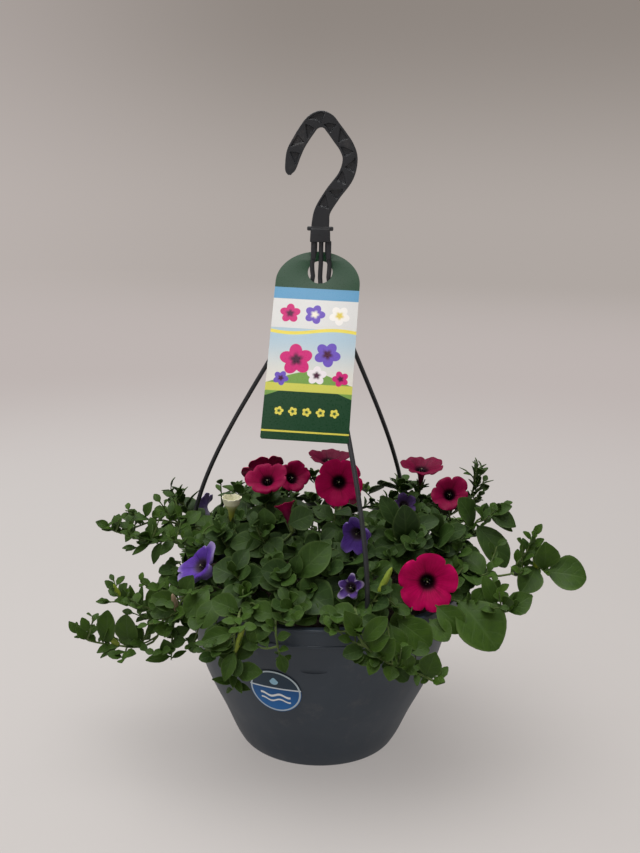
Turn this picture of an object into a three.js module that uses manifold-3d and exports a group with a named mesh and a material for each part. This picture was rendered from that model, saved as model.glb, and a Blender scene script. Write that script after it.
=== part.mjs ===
// A petunia hanging basket: a plastic pot with a water reservoir, a moulded hanger, and trailing plants.
// Millimetres, +Z up. The origin is the middle of the pot's foot, and -Y is the front.
import * as THREE from 'three';
import { mergeVertices } from 'three/addons/utils/BufferGeometryUtils.js';
import Module from 'manifold-3d';

const wasm = await Module();
wasm.setup();

// Pot
const POT_HEIGHT = 158.8;
const RIM_RADIUS = 135;
const FOOT_RADIUS = 74.5;
const WALL = 2.2;
const FLOOR = 2.6;
const RIM_BAND = 16;
const RIM_TOP = 2;
const POT_SIDES = 32;
const SKIRT = 2;
const NECK_RADIUS = 129.4;
const NECK_Z = POT_HEIGHT - RIM_BAND;
const OVERFLOW_RADIUS = 4;
const OVERFLOW_Z = 54;
const DIMPLE_RADIUS = 12.5;
const DIMPLE_Z = 116;
const DIMPLE_TURN = -2;
// Outer wall as [height, radius]: a plain taper from a small round at the foot, steeper near the rim.
const WALL_LINE = [[0, FOOT_RADIUS], [12, 81.2], [35, 91.2], [79.4, 111.3], [NECK_Z, NECK_RADIUS]];

// Reservoir, false floor and soil
const INSERT_Z = 60;
const INSERT_PLATE = 2.2;
const CUP_TOP = 17;
const CUP_FOOT = 12;
const CUP_RING = 55;
const CUP_WALL = 1.8;
const SOIL_DROP = 11;
const FIT = 0.4;

// Hanger
const HUB_X = -5.5;
const HUB_Z = 464.5;
const ARM_START_Z = 435;
const ARM_RADIUS = 2.1;
const ARM_SPACING = 5.6;
const SLOT_RADIUS = 131;
const SLOT_SIZE = [9.2, 3, 6];
const FRONT_ARM_TURN = 17.5;
const ARM_BOW = [0.437, -0.394, 0.197];
const HOOK_THICK = 6;
const HOOK_POCKET = 1.7;
const HOOK_BORDER = 2;
const HOOK_POCKETS = 11;
const HOOK_POCKET_SPAN = [0.07, 0.87];
const HOOK_RIB = 0.012;
const HOOK_STEPS = 22;
const HUB_TOP = 9;
const HUB_FOOT = 9.5;
const HUB_HEIGHT = 12;
const PRONG = [4.6, 5.6, 17];
const PRONG_OUT = 6.8;
const WINGS = [23.4, 6.4, 3.8];
const WINGS_Z = 483.4;
const TONGUE = [8, 1.8, 20];
const TOE = [12, 1.8, 5];

// Tag
const TAG_WIDTH = 75.6;
const TAG_DROP = 139.8;
const TAG_ARCH = 39.5;
const TAG_THICK = 0.8;
const TAG_LEAN = 29.3;
const TAG_SHOULDER = 8;
const TAG_HOLE = [1.5, 19.2, 11.2, 11.4];
const TAG_PLACE = [-8.5, -9, 428];

// Sticker
const STICKER_RADIUS = 23;
const STICKER_TURN = -19;
const STICKER_Z = 91;

// Plants
const STEM = 1.55;
const TWIG = 1.1;
const STEM_SIDES = 3;
const BLADE = 0.75;
const ROOT_DEPTH = 9;
const HOLE_RADIUS = 2.8;
const HOLE_LENGTH = 15.5;
const CLEAR = 0.32;
const SIBLING_CLEAR = 0.1;

const deg = Math.PI / 180;

function vec(x, y, z) {
  return new THREE.Vector3(x, y, z);
}

// A closed geometry as a solid that can be joined and cut.
function solidOf(geometry) {
  const bare = geometry.index ? geometry.toNonIndexed() : geometry.clone();
  bare.deleteAttribute('normal');
  bare.deleteAttribute('uv');
  const merged = mergeVertices(bare, 1e-4);
  const place = merged.attributes.position.array;
  const faces = [];
  let volume = 0;
  const corner = [vec(0, 0, 0), vec(0, 0, 0), vec(0, 0, 0)];
  for (let i = 0; i < merged.index.count; i += 3) {
    const [a, b, c] = [0, 1, 2].map((k) => merged.index.getX(i + k));
    if (a === b || b === c || a === c) continue;
    [a, b, c].forEach((v, k) => corner[k].fromArray(place, 3 * v));
    volume += corner[0].dot(corner[1].clone().cross(corner[2]));
    faces.push([a, b, c]);
  }
  const order = volume > 0 ? faces : faces.map(([a, b, c]) => [a, c, b]);
  return new wasm.Manifold(new wasm.Mesh({
    numProp: 3,
    vertProperties: new Float32Array(place),
    triVerts: new Uint32Array(order.flat()),
  }));
}

function unite(solids) {
  return solids.reduce((whole, next) => whole.add(next));
}

function geometryOf(solid) {
  const mesh = solid.getMesh();
  const geometry = new THREE.BufferGeometry();
  geometry.setAttribute('position', new THREE.BufferAttribute(mesh.vertProperties, 3));
  geometry.setIndex(new THREE.BufferAttribute(mesh.triVerts, 1));
  return geometry;
}

// A closed profile of [radius, height] points, turned round the Z axis.
function turned(profile, sides) {
  const points = profile.map(([r, z]) => new THREE.Vector2(r, z));
  return new THREE.LatheGeometry(points, sides).rotateX(Math.PI / 2);
}

function rod(radius, height, sides, x, y, z) {
  const geometry = new THREE.CylinderGeometry(radius, radius, height, sides);
  return geometry.rotateX(Math.PI / 2).translate(x, y, z);
}

function box(wide, deep, high, x, y, z) {
  return new THREE.BoxGeometry(wide, deep, high).translate(x, y, z);
}

// A curve through points, and the tube of even thickness along it.
function curveOf(points) {
  return new THREE.CatmullRomCurve3(points.map((p) => vec(...p)), false, 'catmullrom', 0.5);
}

function tube(points, radius, steps, sides) {
  const shape = new THREE.Shape();
  for (let i = 0; i < sides; i += 1) {
    const turn = (2 * Math.PI * i) / sides;
    const at = [radius * Math.cos(turn), radius * Math.sin(turn)];
    if (i === 0) shape.moveTo(...at);
    else shape.lineTo(...at);
  }
  shape.closePath();
  return new THREE.ExtrudeGeometry(shape, { steps, extrudePath: curveOf(points), bevelEnabled: false });
}

function wallRadius(z) {
  for (let i = 1; i < WALL_LINE.length; i += 1) {
    const [z0, r0] = WALL_LINE[i - 1];
    const [z1, r1] = WALL_LINE[i];
    if (z <= z1) return r0 + ((r1 - r0) * (z - z0)) / (z1 - z0);
  }
  return NECK_RADIUS;
}

function around(radius, turn, z) {
  return [radius * Math.sin(turn * deg), -radius * Math.cos(turn * deg), z];
}

const armTurns = [0, 1, 2].map((k) => FRONT_ARM_TURN + 120 * k);

function makePot() {
  const outer = WALL_LINE.map(([z, r]) => [r, z]);
  const inner = WALL_LINE.slice(1).map(([z, r]) => [r - WALL, z]).reverse();
  const profile = [
    [0, 0], ...outer,
    [NECK_RADIUS, POT_HEIGHT - RIM_TOP], [RIM_RADIUS - SKIRT, POT_HEIGHT - RIM_TOP],
    [RIM_RADIUS - SKIRT, NECK_Z], [RIM_RADIUS, NECK_Z], [RIM_RADIUS, POT_HEIGHT],
    [NECK_RADIUS - WALL, POT_HEIGHT], ...inner, [FOOT_RADIUS - 1.5, FLOOR], [0, FLOOR],
  ];
  let pot = solidOf(turned(profile, POT_SIDES));
  for (const turn of armTurns) {
    const slot = box(...SLOT_SIZE, 0, -SLOT_RADIUS, POT_HEIGHT - 1).rotateZ(turn * deg);
    pot = pot.subtract(solidOf(slot));
  }
  const overflow = rod(OVERFLOW_RADIUS, 12, 8, 0, 0, 0).rotateX(Math.PI / 2);
  overflow.translate(0, wallRadius(OVERFLOW_Z) - 1, OVERFLOW_Z);
  const dimple = new THREE.SphereGeometry(DIMPLE_RADIUS, 10, 6).scale(1, 0.12, 0.2);
  dimple.translate(0, -wallRadius(DIMPLE_Z) + 0.1, DIMPLE_Z).rotateZ(DIMPLE_TURN * deg);
  return pot.subtract(solidOf(overflow)).subtract(solidOf(dimple));
}

// The false floor keeps the soil above the water, and three cups of soil reach down into it.
const cupTurns = [60, 180, 300];

function makeInsert() {
  const reach = wallRadius(INSERT_Z) - WALL - FIT - 0.4;
  const slope = 0.34 * INSERT_PLATE;
  let body = solidOf(turned([
    [0, INSERT_Z], [reach, INSERT_Z], [reach + slope, INSERT_Z + INSERT_PLATE], [0, INSERT_Z + INSERT_PLATE],
  ], 20));
  const foot = FLOOR + FIT;
  const top = INSERT_Z + INSERT_PLATE;
  for (const turn of cupTurns) {
    const [x, y] = around(CUP_RING, turn, 0);
    const cup = turned([[0, foot], [CUP_FOOT, foot], [CUP_TOP, INSERT_Z + 1], [0, INSERT_Z + 1]], 8);
    body = body.add(solidOf(cup.translate(x, y, 0)));
    const well = turned([
      [0, foot + CUP_WALL], [CUP_FOOT - CUP_WALL, foot + CUP_WALL],
      [CUP_TOP - CUP_WALL, top + 1], [0, top + 1],
    ], 8);
    body = body.subtract(solidOf(well.translate(x, y, 0)));
    body = body.subtract(solidOf(box(4, 60, 18, 0, 0, foot + 14).rotateZ(turn * deg).translate(x, y, 0)));
  }
  for (const turn of [0, 120, 240]) {
    const [x, y] = around(78, turn, INSERT_Z + 1);
    body = body.subtract(solidOf(rod(5, 8, 8, x, y, INSERT_Z + 1)));
  }
  return body;
}

function soilTop(x, y) {
  const r = Math.hypot(x, y);
  const lumps = 1.1 * Math.sin(0.11 * x + 0.6) * Math.cos(0.13 * y) + 0.8 * Math.sin(0.19 * y + 0.07 * x);
  return POT_HEIGHT - SOIL_DROP + 3.5 * Math.exp(-((r / 70) ** 2)) + lumps;
}

function makeSoil(holes) {
  const under = INSERT_Z + INSERT_PLATE + FIT;
  const side = (z) => (wallRadius(z) - WALL) * 0.995 - FIT;
  const brim = POT_HEIGHT - SOIL_DROP - 3;
  const rings = [0.84, 0.56, 0.28].map((k) => [side(brim) * k, brim + 3]);
  const profile = [
    [0, under], [side(under) - 0.4, under], [side(79.4), 79.4], [side(brim), brim], ...rings, [0, brim + 3],
  ];
  const geometry = turned(profile, 22);
  const place = geometry.attributes.position;
  for (let i = 0; i < place.count; i += 1) {
    if (place.getZ(i) > brim + 1) place.setZ(i, soilTop(place.getX(i), place.getY(i)));
  }
  let soil = solidOf(geometry);
  const foot = FLOOR + FIT + CUP_WALL + FIT;
  for (const turn of cupTurns) {
    const [x, y] = around(CUP_RING, turn, 0);
    const narrow = CUP_FOOT - CUP_WALL - FIT;
    const wide = CUP_TOP - CUP_WALL - FIT - 0.5;
    const plug = turned([[0, foot], [narrow, foot], [wide, under + 2], [0, under + 2]], 8);
    soil = soil.add(solidOf(plug.translate(x, y, 0)));
  }
  for (const hole of holes) soil = soil.subtract(hole);
  return soil;
}

// The hook's middle line as [x, z, width], from the blunt tip over the crook and down to the hub.
const HOOK_LINE = [
  [-34.6, 532.5, 7.6], [-33.4, 537.5, 10.6], [-30.9, 548, 13.1], [-26.9, 556.6, 12.9], [-20, 567.6, 13.2],
  [-14.6, 574.3, 13.2], [-8, 577.2, 13.9], [-1.6, 575.3, 13.2], [3.4, 569.7, 13], [8.8, 562.8, 13.2],
  [15.4, 553.6, 13.1], [18.5, 543.2, 13.2],
  [15, 529, 14.1], [4, 513.8, 14.3], [-4.6, 499.5, 14.2], [-6.4, 489, 15.6], [-6.6, 481, 16],
];

const hookMiddle = curveOf(HOOK_LINE.map(([x, z]) => [x, 0, z]));

function hookPoint(at) {
  const span = at * (HOOK_LINE.length - 1);
  const i = Math.min(Math.floor(span), HOOK_LINE.length - 2);
  const point = hookMiddle.getPoint(at);
  const along = hookMiddle.getTangent(at);
  const width = HOOK_LINE[i][2] + (HOOK_LINE[i + 1][2] - HOOK_LINE[i][2]) * (span - i);
  return { point, side: vec(-along.z, 0, along.x), width };
}

function plate(corners, thick, y) {
  const shape = new THREE.Shape(corners.map(([x, z]) => new THREE.Vector2(x, z)));
  const geometry = new THREE.ExtrudeGeometry(shape, { depth: thick, bevelEnabled: false });
  return geometry.rotateX(Math.PI / 2).translate(0, y + thick / 2, 0);
}

function makeHook() {
  const left = [];
  const right = [];
  for (let i = 0; i <= HOOK_STEPS; i += 1) {
    const { point, side, width } = hookPoint(i / HOOK_STEPS);
    left.push([point.x + (side.x * width) / 2, point.z + (side.z * width) / 2]);
    right.unshift([point.x - (side.x * width) / 2, point.z - (side.z * width) / 2]);
  }
  const tip = [[-33.6, 529.2], [-35.8, 529.3]];
  let hook = solidOf(plate([...left, ...right, ...tip], HOOK_THICK, 0));
  // Pockets between zigzag ribs, on both faces.
  for (let i = 0; i < HOOK_POCKETS; i += 1) {
    const [first, last] = HOOK_POCKET_SPAN;
    const from = first + ((last - first) * i) / HOOK_POCKETS;
    const to = from + (last - first) / HOOK_POCKETS - HOOK_RIB;
    const flip = i % 2 ? 1 : -1;
    const reach = (at, out) => {
      const { point, side, width } = hookPoint(hookMiddle.getUtoTmapping(at));
      const off = out * (width / 2 - HOOK_BORDER);
      return [point.x + side.x * off, point.z + side.z * off];
    };
    const wide = [reach(from, flip), reach(to, flip), reach(to - 0.012, -flip * 0.8)];
    for (const y of [-HOOK_THICK / 2, HOOK_THICK / 2]) {
      hook = hook.subtract(solidOf(plate(wide, 2 * HOOK_POCKET, y)));
    }
  }
  return hook;
}

// How far an arm has come out from the hub, from 0 at its start to 1 at the rim.
function bow(s) {
  const [a, b, c] = ARM_BOW;
  return s + a * s * (1 - s) + b * s * (1 - s) * (1 - 2 * s) + c * s * s * (1 - s);
}

function makeHanger() {
  const hub = new THREE.CylinderGeometry(HUB_TOP, HUB_FOOT, HUB_HEIGHT, 4, 1).rotateY(Math.PI / 4);
  hub.scale(1.36, 1, 0.62).rotateX(Math.PI / 2).translate(HUB_X - 1, 0, HUB_Z + 13);
  const wings = box(...WINGS, HUB_X - 1.1, 0, WINGS_Z);
  const parts = [makeHook(), solidOf(hub), solidOf(wings)];
  for (const out of [-PRONG_OUT, PRONG_OUT]) parts.push(solidOf(box(...PRONG, HUB_X + out, 0, HUB_Z)));
  const order = [0, 1, -1];
  armTurns.forEach((turn, k) => {
    const x = HUB_X + order[k] * ARM_SPACING;
    const [ex, ey] = around(SLOT_RADIUS, turn, 0);
    const end = POT_HEIGHT + 9;
    const route = [[x, 0, HUB_Z + 10], [x, 0, ARM_START_Z + 16]];
    for (let i = 0; i <= 8; i += 1) {
      const s = i / 8;
      route.push([x + (ex - x) * bow(s), ey * bow(s), ARM_START_Z + (end - ARM_START_Z) * s]);
    }
    parts.push(solidOf(tube(route, ARM_RADIUS, 12, 5)));
    const tongue = box(...TONGUE, 0, -SLOT_RADIUS, POT_HEIGHT + 1);
    const toe = box(...TOE, 0, -SLOT_RADIUS, POT_HEIGHT - RIM_TOP - FIT - TOE[2] / 2);
    parts.push(solidOf(tongue.rotateZ(turn * deg)), solidOf(toe.rotateZ(turn * deg)));
  });
  return unite(parts);
}

function makeTag() {
  const half = TAG_WIDTH / 2;
  const shape = new THREE.Shape();
  shape.moveTo(-half, -TAG_DROP);
  shape.lineTo(half, -TAG_DROP);
  shape.lineTo(half, TAG_SHOULDER);
  for (let i = 1; i < 12; i += 1) {
    const turn = (Math.PI * i) / 12;
    shape.lineTo(half * Math.cos(turn), TAG_SHOULDER + (TAG_ARCH - TAG_SHOULDER) * Math.sin(turn));
  }
  shape.lineTo(-half, TAG_SHOULDER);
  shape.closePath();
  const hole = new THREE.Path();
  hole.absellipse(...TAG_HOLE, 0, 2 * Math.PI, true);
  shape.holes.push(hole);
  const card = new THREE.ExtrudeGeometry(shape, { depth: TAG_THICK, bevelEnabled: false, curveSegments: 9 });
  card.rotateZ(-1.9 * deg).rotateX(Math.PI / 2 - TAG_LEAN * deg).rotateZ(-2.9 * deg);
  return solidOf(card.translate(...TAG_PLACE));
}

function makeSticker() {
  const onWall = (a, b, out) => {
    const z = STICKER_Z + b * 0.955;
    const r = wallRadius(z) + out;
    return around(r, STICKER_TURN + a / 112 / deg, z);
  };
  const card = new THREE.CylinderGeometry(STICKER_RADIUS, STICKER_RADIUS, 1, 16, 1).rotateX(Math.PI / 2);
  const disc = solidOf(card);
  const mesh = disc.refineToLength(14).getMesh();
  const place = mesh.vertProperties;
  for (let i = 0; i < place.length; i += 3) {
    const out = place[i + 2] > 0.25 ? 1.2 : place[i + 2] < -0.25 ? 0.5 : 0.85;
    const at = onWall(place[i], place[i + 1], out);
    place.set(at, i);
  }
  const geometry = new THREE.BufferGeometry();
  geometry.setAttribute('position', new THREE.BufferAttribute(place, 3));
  geometry.setIndex(new THREE.BufferAttribute(mesh.triVerts, 1));
  return solidOf(geometry);
}

// Each spray grows from a hole in the soil along its route. A leaf row is
// [place along the stem from 0 to 1, length, width, heading, lift].
// Heading 0 points to +X and -90 to the front.
// A fill row is [how many, from, to, first length, last length] and sets leaves in a spiral up the stem.
// A bud row is [place along, length, radius, heading, lift].
const SPRAYS = [
  {
    name: 'left_high', hole: [-74, 14],
    route: [[-92, 8, 178], [-112, 4, 197], [-130, 2, 203], [-153, -2, 210], [-174, -5, 204], [-189, -5, 197],
      [-202, -5, 203]],
    leaves: [
      [0.98, 15, 8, 180, 20], [0.92, 14, 6, 120, 60], [0.84, 16, 7, 140, 55], [0.8, 14, 7, -60, 50],
      [0.76, 17, 8, -130, -40], [0.73, 14, 7, 100, 50], [0.68, 25, 11, -60, -35], [0.66, 15, 8, 40, 60],
      [0.62, 16, 9, 75, 45], [0.58, 24, 11, -85, -30], [0.53, 28, 12, -70, -20], [0.5, 21, 13, 35, 35],
      [0.4, 26, 16, -60, 10], [0.34, 28, 18, 110, 30],
    ],
    buds: [[0.86, 12, 2.2, -60, 30]],
  },
  {
    name: 'left_up', hole: [-84, 44],
    route: [[-100, 40, 185], [-116, 37, 198], [-127, 35, 204], [-135, 35, 214], [-139, 35, 227]],
    leaves: [
      [0.8, 23, 11, -170, 20], [0.78, 26, 13, -25, 55], [0.62, 27, 17, 120, 25], [0.5, 30, 19, -150, 25],
      [0.42, 32, 20, 60, 30],
    ],
  },
  {
    name: 'left_mid', hole: [-82, -14],
    route: [[-98, -20, 178], [-122, -25, 196], [-140, -28, 199], [-158, -30, 196], [-172, -30, 191]],
    leaves: [
      [0.73, 22, 8, -140, -65], [0.62, 20, 9, -150, -40], [0.83, 20, 6, -160, -30], [0.5, 18, 14, -20, 25],
      [0.98, 14, 5, -165, 0], [0.8, 15, 7, 60, 55], [0.68, 18, 10, 80, 40], [0.42, 28, 18, -110, 5],
      [0.36, 28, 18, 70, 35],
    ],
  },
  {
    name: 'left_bud', hole: [-86, -38],
    route: [[-104, -43, 172], [-120, -48, 168], [-134, -50, 156], [-148, -50, 143], [-163, -48, 138],
      [-180, -45, 144], [-194, -45, 144]],
    leaves: [
      [0.72, 30, 8, -25, 60], [0.58, 25, 19, -150, -15], [0.6, 24, 14, 60, 60], [0.84, 18, 7, -140, 70],
      [0.98, 14, 5, 180, 0], [0.8, 20, 7, 155, 75], [0.76, 20, 5, 85, 75], [0.45, 24, 16, 120, 35],
    ],
    buds: [[0.87, 22, 2.2, -170, 65]],
  },
  {
    name: 'left_low', hole: [-97, -26],
    route: [[-120, -34, 171], [-136, -39, 158], [-143, -41, 132], [-152, -42, 107], [-168, -42, 99],
      [-186, -40, 99], [-202, -38, 100], [-216, -36, 102], [-227, -35, 109]],
    leaves: [
      [0.76, 36, 17, -140, 75], [0.64, 37, 20, -100, 75], [0.9, 18, 8, 175, 40], [0.7, 25, 5, -175, -50],
      [0.74, 17, 7, -155, -20], [0.98, 15, 7, 170, 50], [0.8, 14, 7, 80, 60], [0.42, 20, 12, 150, 20],
    ],
    buds: [[0.7, 13, 2.6, 170, 35]],
  },
  {
    name: 'left_down', hole: [-76, -62],
    route: [[-96, -74, 172], [-112, -83, 172], [-124, -89, 158], [-128, -92, 140], [-130, -92, 110]],
    leaves: [
      [0.84, 17, 12, -160, 5], [0.88, 19, 10, -20, 30], [0.97, 23, 12, -125, 50], [0.98, 24, 8, -165, -5],
      [0.99, 16, 5, -15, 25], [0.76, 31, 17, -20, 30], [0.58, 26, 17, -50, 60], [0.66, 27, 16, -170, 25],
      [0.5, 28, 18, 150, 30],
    ],
    buds: [[0.7, 22, 2.6, -110, 65]],
  },
  {
    name: 'front_left', hole: [-52, -84],
    route: [[-60, -104, 172], [-66, -124, 172], [-70, -138, 160], [-70, -142, 146], [-69, -140, 129],
      [-72, -136, 105]],
    leaves: [
      [0.59, 30, 13, -160, -10], [0.7, 27, 9, -160, 5], [0.74, 27, 11, -130, -60], [0.83, 34, 20, -35, 45],
      [0.9, 28, 14, -30, 15], [0.96, 20, 6, -155, 20], [0.97, 17, 6, -30, 0], [0.82, 20, 7, -150, 20],
      [0.93, 16, 6, -70, -40], [0.45, 27, 18, 170, 20],
    ],
    buds: [[0.76, 25, 2.4, -95, 70]],
  },
  {
    name: 'front_sprout', hole: [-30, -96],
    route: [[-33, -115, 168], [-36, -134, 171], [-36, -147, 162], [-33, -148, 145], [-30, -146, 133]],
    leaves: [
      [0.72, 15, 7, -30, 30], [0.84, 17, 9, -45, -65], [0.5, 24, 16, 160, 10], [0.42, 24, 17, 20, 20],
    ],
  },
  {
    name: 'centre_front', hole: [-14, -70],
    route: [[-16, -82, 170], [-19, -95, 182], [-24, -100, 196]],
    leaves: [
      [0.72, 44, 29, -50, -10], [0.88, 36, 24, -165, 15], [0.9, 42, 25, 5, 45], [0.97, 18, 12, 0, 75],
      [0.66, 36, 18, -135, -10], [0.8, 35, 18, -170, 0],
    ],
  },
  {
    name: 'centre_left', hole: [-50, -60],
    route: [[-56, -78, 172], [-64, -92, 182], [-73, -95, 190], [-76, -96, 198]],
    leaves: [
      [0.78, 28, 26, -175, 5], [0.62, 36, 22, -110, -20], [0.64, 22, 16, -130, 15], [0.9, 22, 14, 40, 50],
      [0.7, 30, 20, -20, 5],
    ],
    buds: [[0.66, 14, 2.6, -85, 10]],
  },
  {
    name: 'upper_left', hole: [-38, -29],
    route: [[-42, -44, 181], [-47, -56, 200], [-48.5, -60, 212], [-47.5, -62, 224]],
    leaves: [
      [0.93, 23, 18, -180, 65], [0.9, 36, 20, 0, 25], [0.83, 34, 17, -165, -10], [0.8, 23, 18, -65, -25],
      [0.7, 30, 20, -110, -15], [0.62, 32, 20, 150, 10],
    ],
  },
  {
    name: 'white_bloom', hole: [-62, -22],
    route: [[-68, -34, 175], [-76, -45, 190], [-86, -54, 205], [-90, -56, 221]],
    leaves: [
      [0.88, 24, 18, -95, 78], [0.95, 14, 6, -160, 20], [0.9, 18, 9, -150, 5], [0.84, 20, 10, -60, 30],
      [0.7, 28, 18, 170, 15], [0.62, 30, 19, 60, 20],
    ],
  },
  {
    name: 'right_low', hole: [74, -66],
    route: [[88, -78, 172], [104, -90, 175], [116, -95, 172], [138, -95, 166], [158, -92, 160],
      [168, -90, 166]],
    leaves: [
      [0.6, 51, 32, -55, -45], [0.52, 46, 23, -125, -20], [0.9, 27, 19, -20, 25], [0.8, 33, 12, 150, 70],
      [0.92, 29, 12, 145, 75], [0.68, 18, 13, 35, 55], [0.98, 22, 13, -70, 10], [0.97, 14, 7, 60, 60],
      [0.44, 30, 20, 150, 20],
    ],
  },
  {
    name: 'right_far', hole: [92, -28],
    route: [[106, -36, 172], [124, -44, 177], [144, -50, 177], [170, -52, 181], [192, -54, 190],
      [202, -55, 185]],
    leaves: [
      [0.88, 33, 21, -140, -30], [0.97, 30, 24, 70, 75], [0.99, 37, 30, -10, -5], [0.98, 14, 8, 150, 60],
      [0.6, 30, 18, 130, 30], [0.5, 32, 20, -70, -10], [0.42, 30, 20, 100, 30], [0.8, 16, 8, 90, 50],
    ],
    twig: { along: 0.78, route: [[176, -52, 190], [185, -52, 203], [190, -52, 220]] },
    buds: [[0.86, 12, 2, -60, 70], [0.9, 9, 2, 60, 60]],
  },
  {
    name: 'right_mid', hole: [88, 6],
    route: [[102, 4, 176], [120, 2, 188], [137, 0, 196], [148, 0, 216], [166, 0, 223]],
    leaves: [
      [0.8, 50, 25, -40, -45], [0.93, 26, 10, -15, -30], [0.95, 25, 16, -20, -20], [0.98, 21, 13, 0, 25],
      [0.87, 19, 10, 20, 40], [0.77, 34, 22, -160, 60], [0.66, 30, 18, -120, 0], [0.55, 34, 20, 100, 25],
    ],
  },
  {
    name: 'top_right', hole: [76, 50],
    route: [[96, 52, 182], [122, 52, 200], [142, 50, 215], [150, 50, 232], [150, 50, 250]],
    leaves: [
      [0.93, 20, 6, -165, 40], [0.95, 19, 6, 15, 35], [0.97, 15, 5, 180, 65], [0.98, 15, 5, 0, 75],
      [0.82, 24, 7, -5, 20], [0.85, 18, 7, 10, 55], [0.75, 20, 9, 170, 25], [0.62, 28, 16, -60, 15],
      [0.5, 30, 19, 110, 25],
    ],
  },
  {
    name: 'front_right', hole: [34, -98],
    route: [[35, -114, 168], [36, -135, 171], [38, -150, 158], [49, -150, 145], [66, -148, 133],
      [87, -145, 125], [106, -142, 115]],
    leaves: [
      [0.5, 29, 14, -150, 60], [0.54, 30, 13, -15, 50], [0.6, 24, 12, -35, 40], [0.68, 27, 16, -50, 55],
      [0.66, 18, 10, -135, -50], [0.75, 15, 12, -105, -35], [0.83, 22, 12, -135, 60],
      [0.92, 26, 17, -40, 70], [0.78, 16, 9, -10, 10], [0.42, 26, 18, 150, 15],
    ],
  },
  {
    name: 'centre_right', hole: [52, -34],
    route: [[60, -42, 180], [70, -48, 195], [75, -50, 203], [66, -45, 228]],
    leaves: [
      [0.82, 42, 23, -90, 75], [0.84, 32, 17, -140, -15], [0.95, 32, 17, 175, 60],
      [0.76, 26, 17, -40, -10], [0.68, 34, 20, -95, -15], [0.6, 32, 20, 160, 10],
    ],
  },
  {
    name: 'right_inner', hole: [72, -18],
    route: [[88, -22, 178], [102, -26, 192], [110, -25, 203], [106, -20, 221]],
    leaves: [
      [0.67, 37, 24, -40, 30], [0.88, 28, 15, -175, 50], [0.95, 23, 14, -15, 55], [0.64, 28, 13, -65, 10],
      [0.78, 30, 18, 70, 20], [0.97, 16, 8, 120, 60], [0.58, 30, 18, -110, -10],
    ],
  },
  {
    name: 'front_bud', hole: [26, -78],
    route: [[30, -98, 166], [36, -116, 170], [41, -125, 178], [46, -125, 186]],
    leaves: [[0.66, 26, 17, -150, 10], [0.62, 24, 16, -20, 20], [0.82, 12, 7, -170, 40]],
    buds: [[0.98, 24, 2.7, -20, 62]],
  },
  {
    name: 'mid_left', hole: [-42, 12],
    route: [[-45, 6, 185], [-50, -1, 208], [-52, -4, 224]],
    leaves: [],
    fill: [7, 0.34, 0.94, 34, 18],
  },
  {
    name: 'mid', hole: [10, 6],
    route: [[11, 9, 185], [13, 13, 215], [14, 14, 238]],
    leaves: [],
    fill: [8, 0.32, 0.95, 36, 18],
  },
  {
    name: 'mid_right', hole: [62, 24],
    route: [[74, 31, 185], [88, 37, 214], [94, 38, 233]],
    leaves: [],
    fill: [7, 0.32, 0.96, 34, 16],
  },
  {
    name: 'mid_front', hole: [14, -38],
    route: [[16, -48, 178], [20, -56, 196], [22, -58, 210]],
    leaves: [],
    fill: [7, 0.34, 0.95, 34, 18],
  },
  {
    name: 'back_left', hole: [-70, 66],
    route: [[-88, 84, 178], [-108, 102, 184], [-128, 120, 172], [-140, 132, 148], [-146, 138, 118]],
    leaves: [],
    fill: [9, 0.32, 0.98, 36, 14],
  },
  {
    name: 'back_left_inner', hole: [-36, 60],
    route: [[-42, 76, 180], [-48, 90, 198], [-50, 96, 212]],
    leaves: [],
    fill: [7, 0.34, 0.94, 34, 18],
  },
  {
    name: 'back', hole: [0, 84],
    route: [[-3, 106, 178], [-6, 133, 179], [-9, 152, 164], [-12, 159, 138], [-13, 156, 113]],
    leaves: [],
    fill: [9, 0.34, 0.98, 34, 13],
  },
  {
    name: 'back_inner', hole: [18, 48],
    route: [[20, 62, 182], [22, 74, 204], [22, 78, 222]],
    leaves: [],
    fill: [7, 0.34, 0.95, 35, 18],
  },
  {
    name: 'back_right', hole: [58, 78],
    route: [[76, 98, 176], [96, 118, 180], [120, 134, 170], [142, 146, 158], [160, 154, 152]],
    leaves: [],
    fill: [9, 0.32, 0.98, 36, 14],
  },
];

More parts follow.
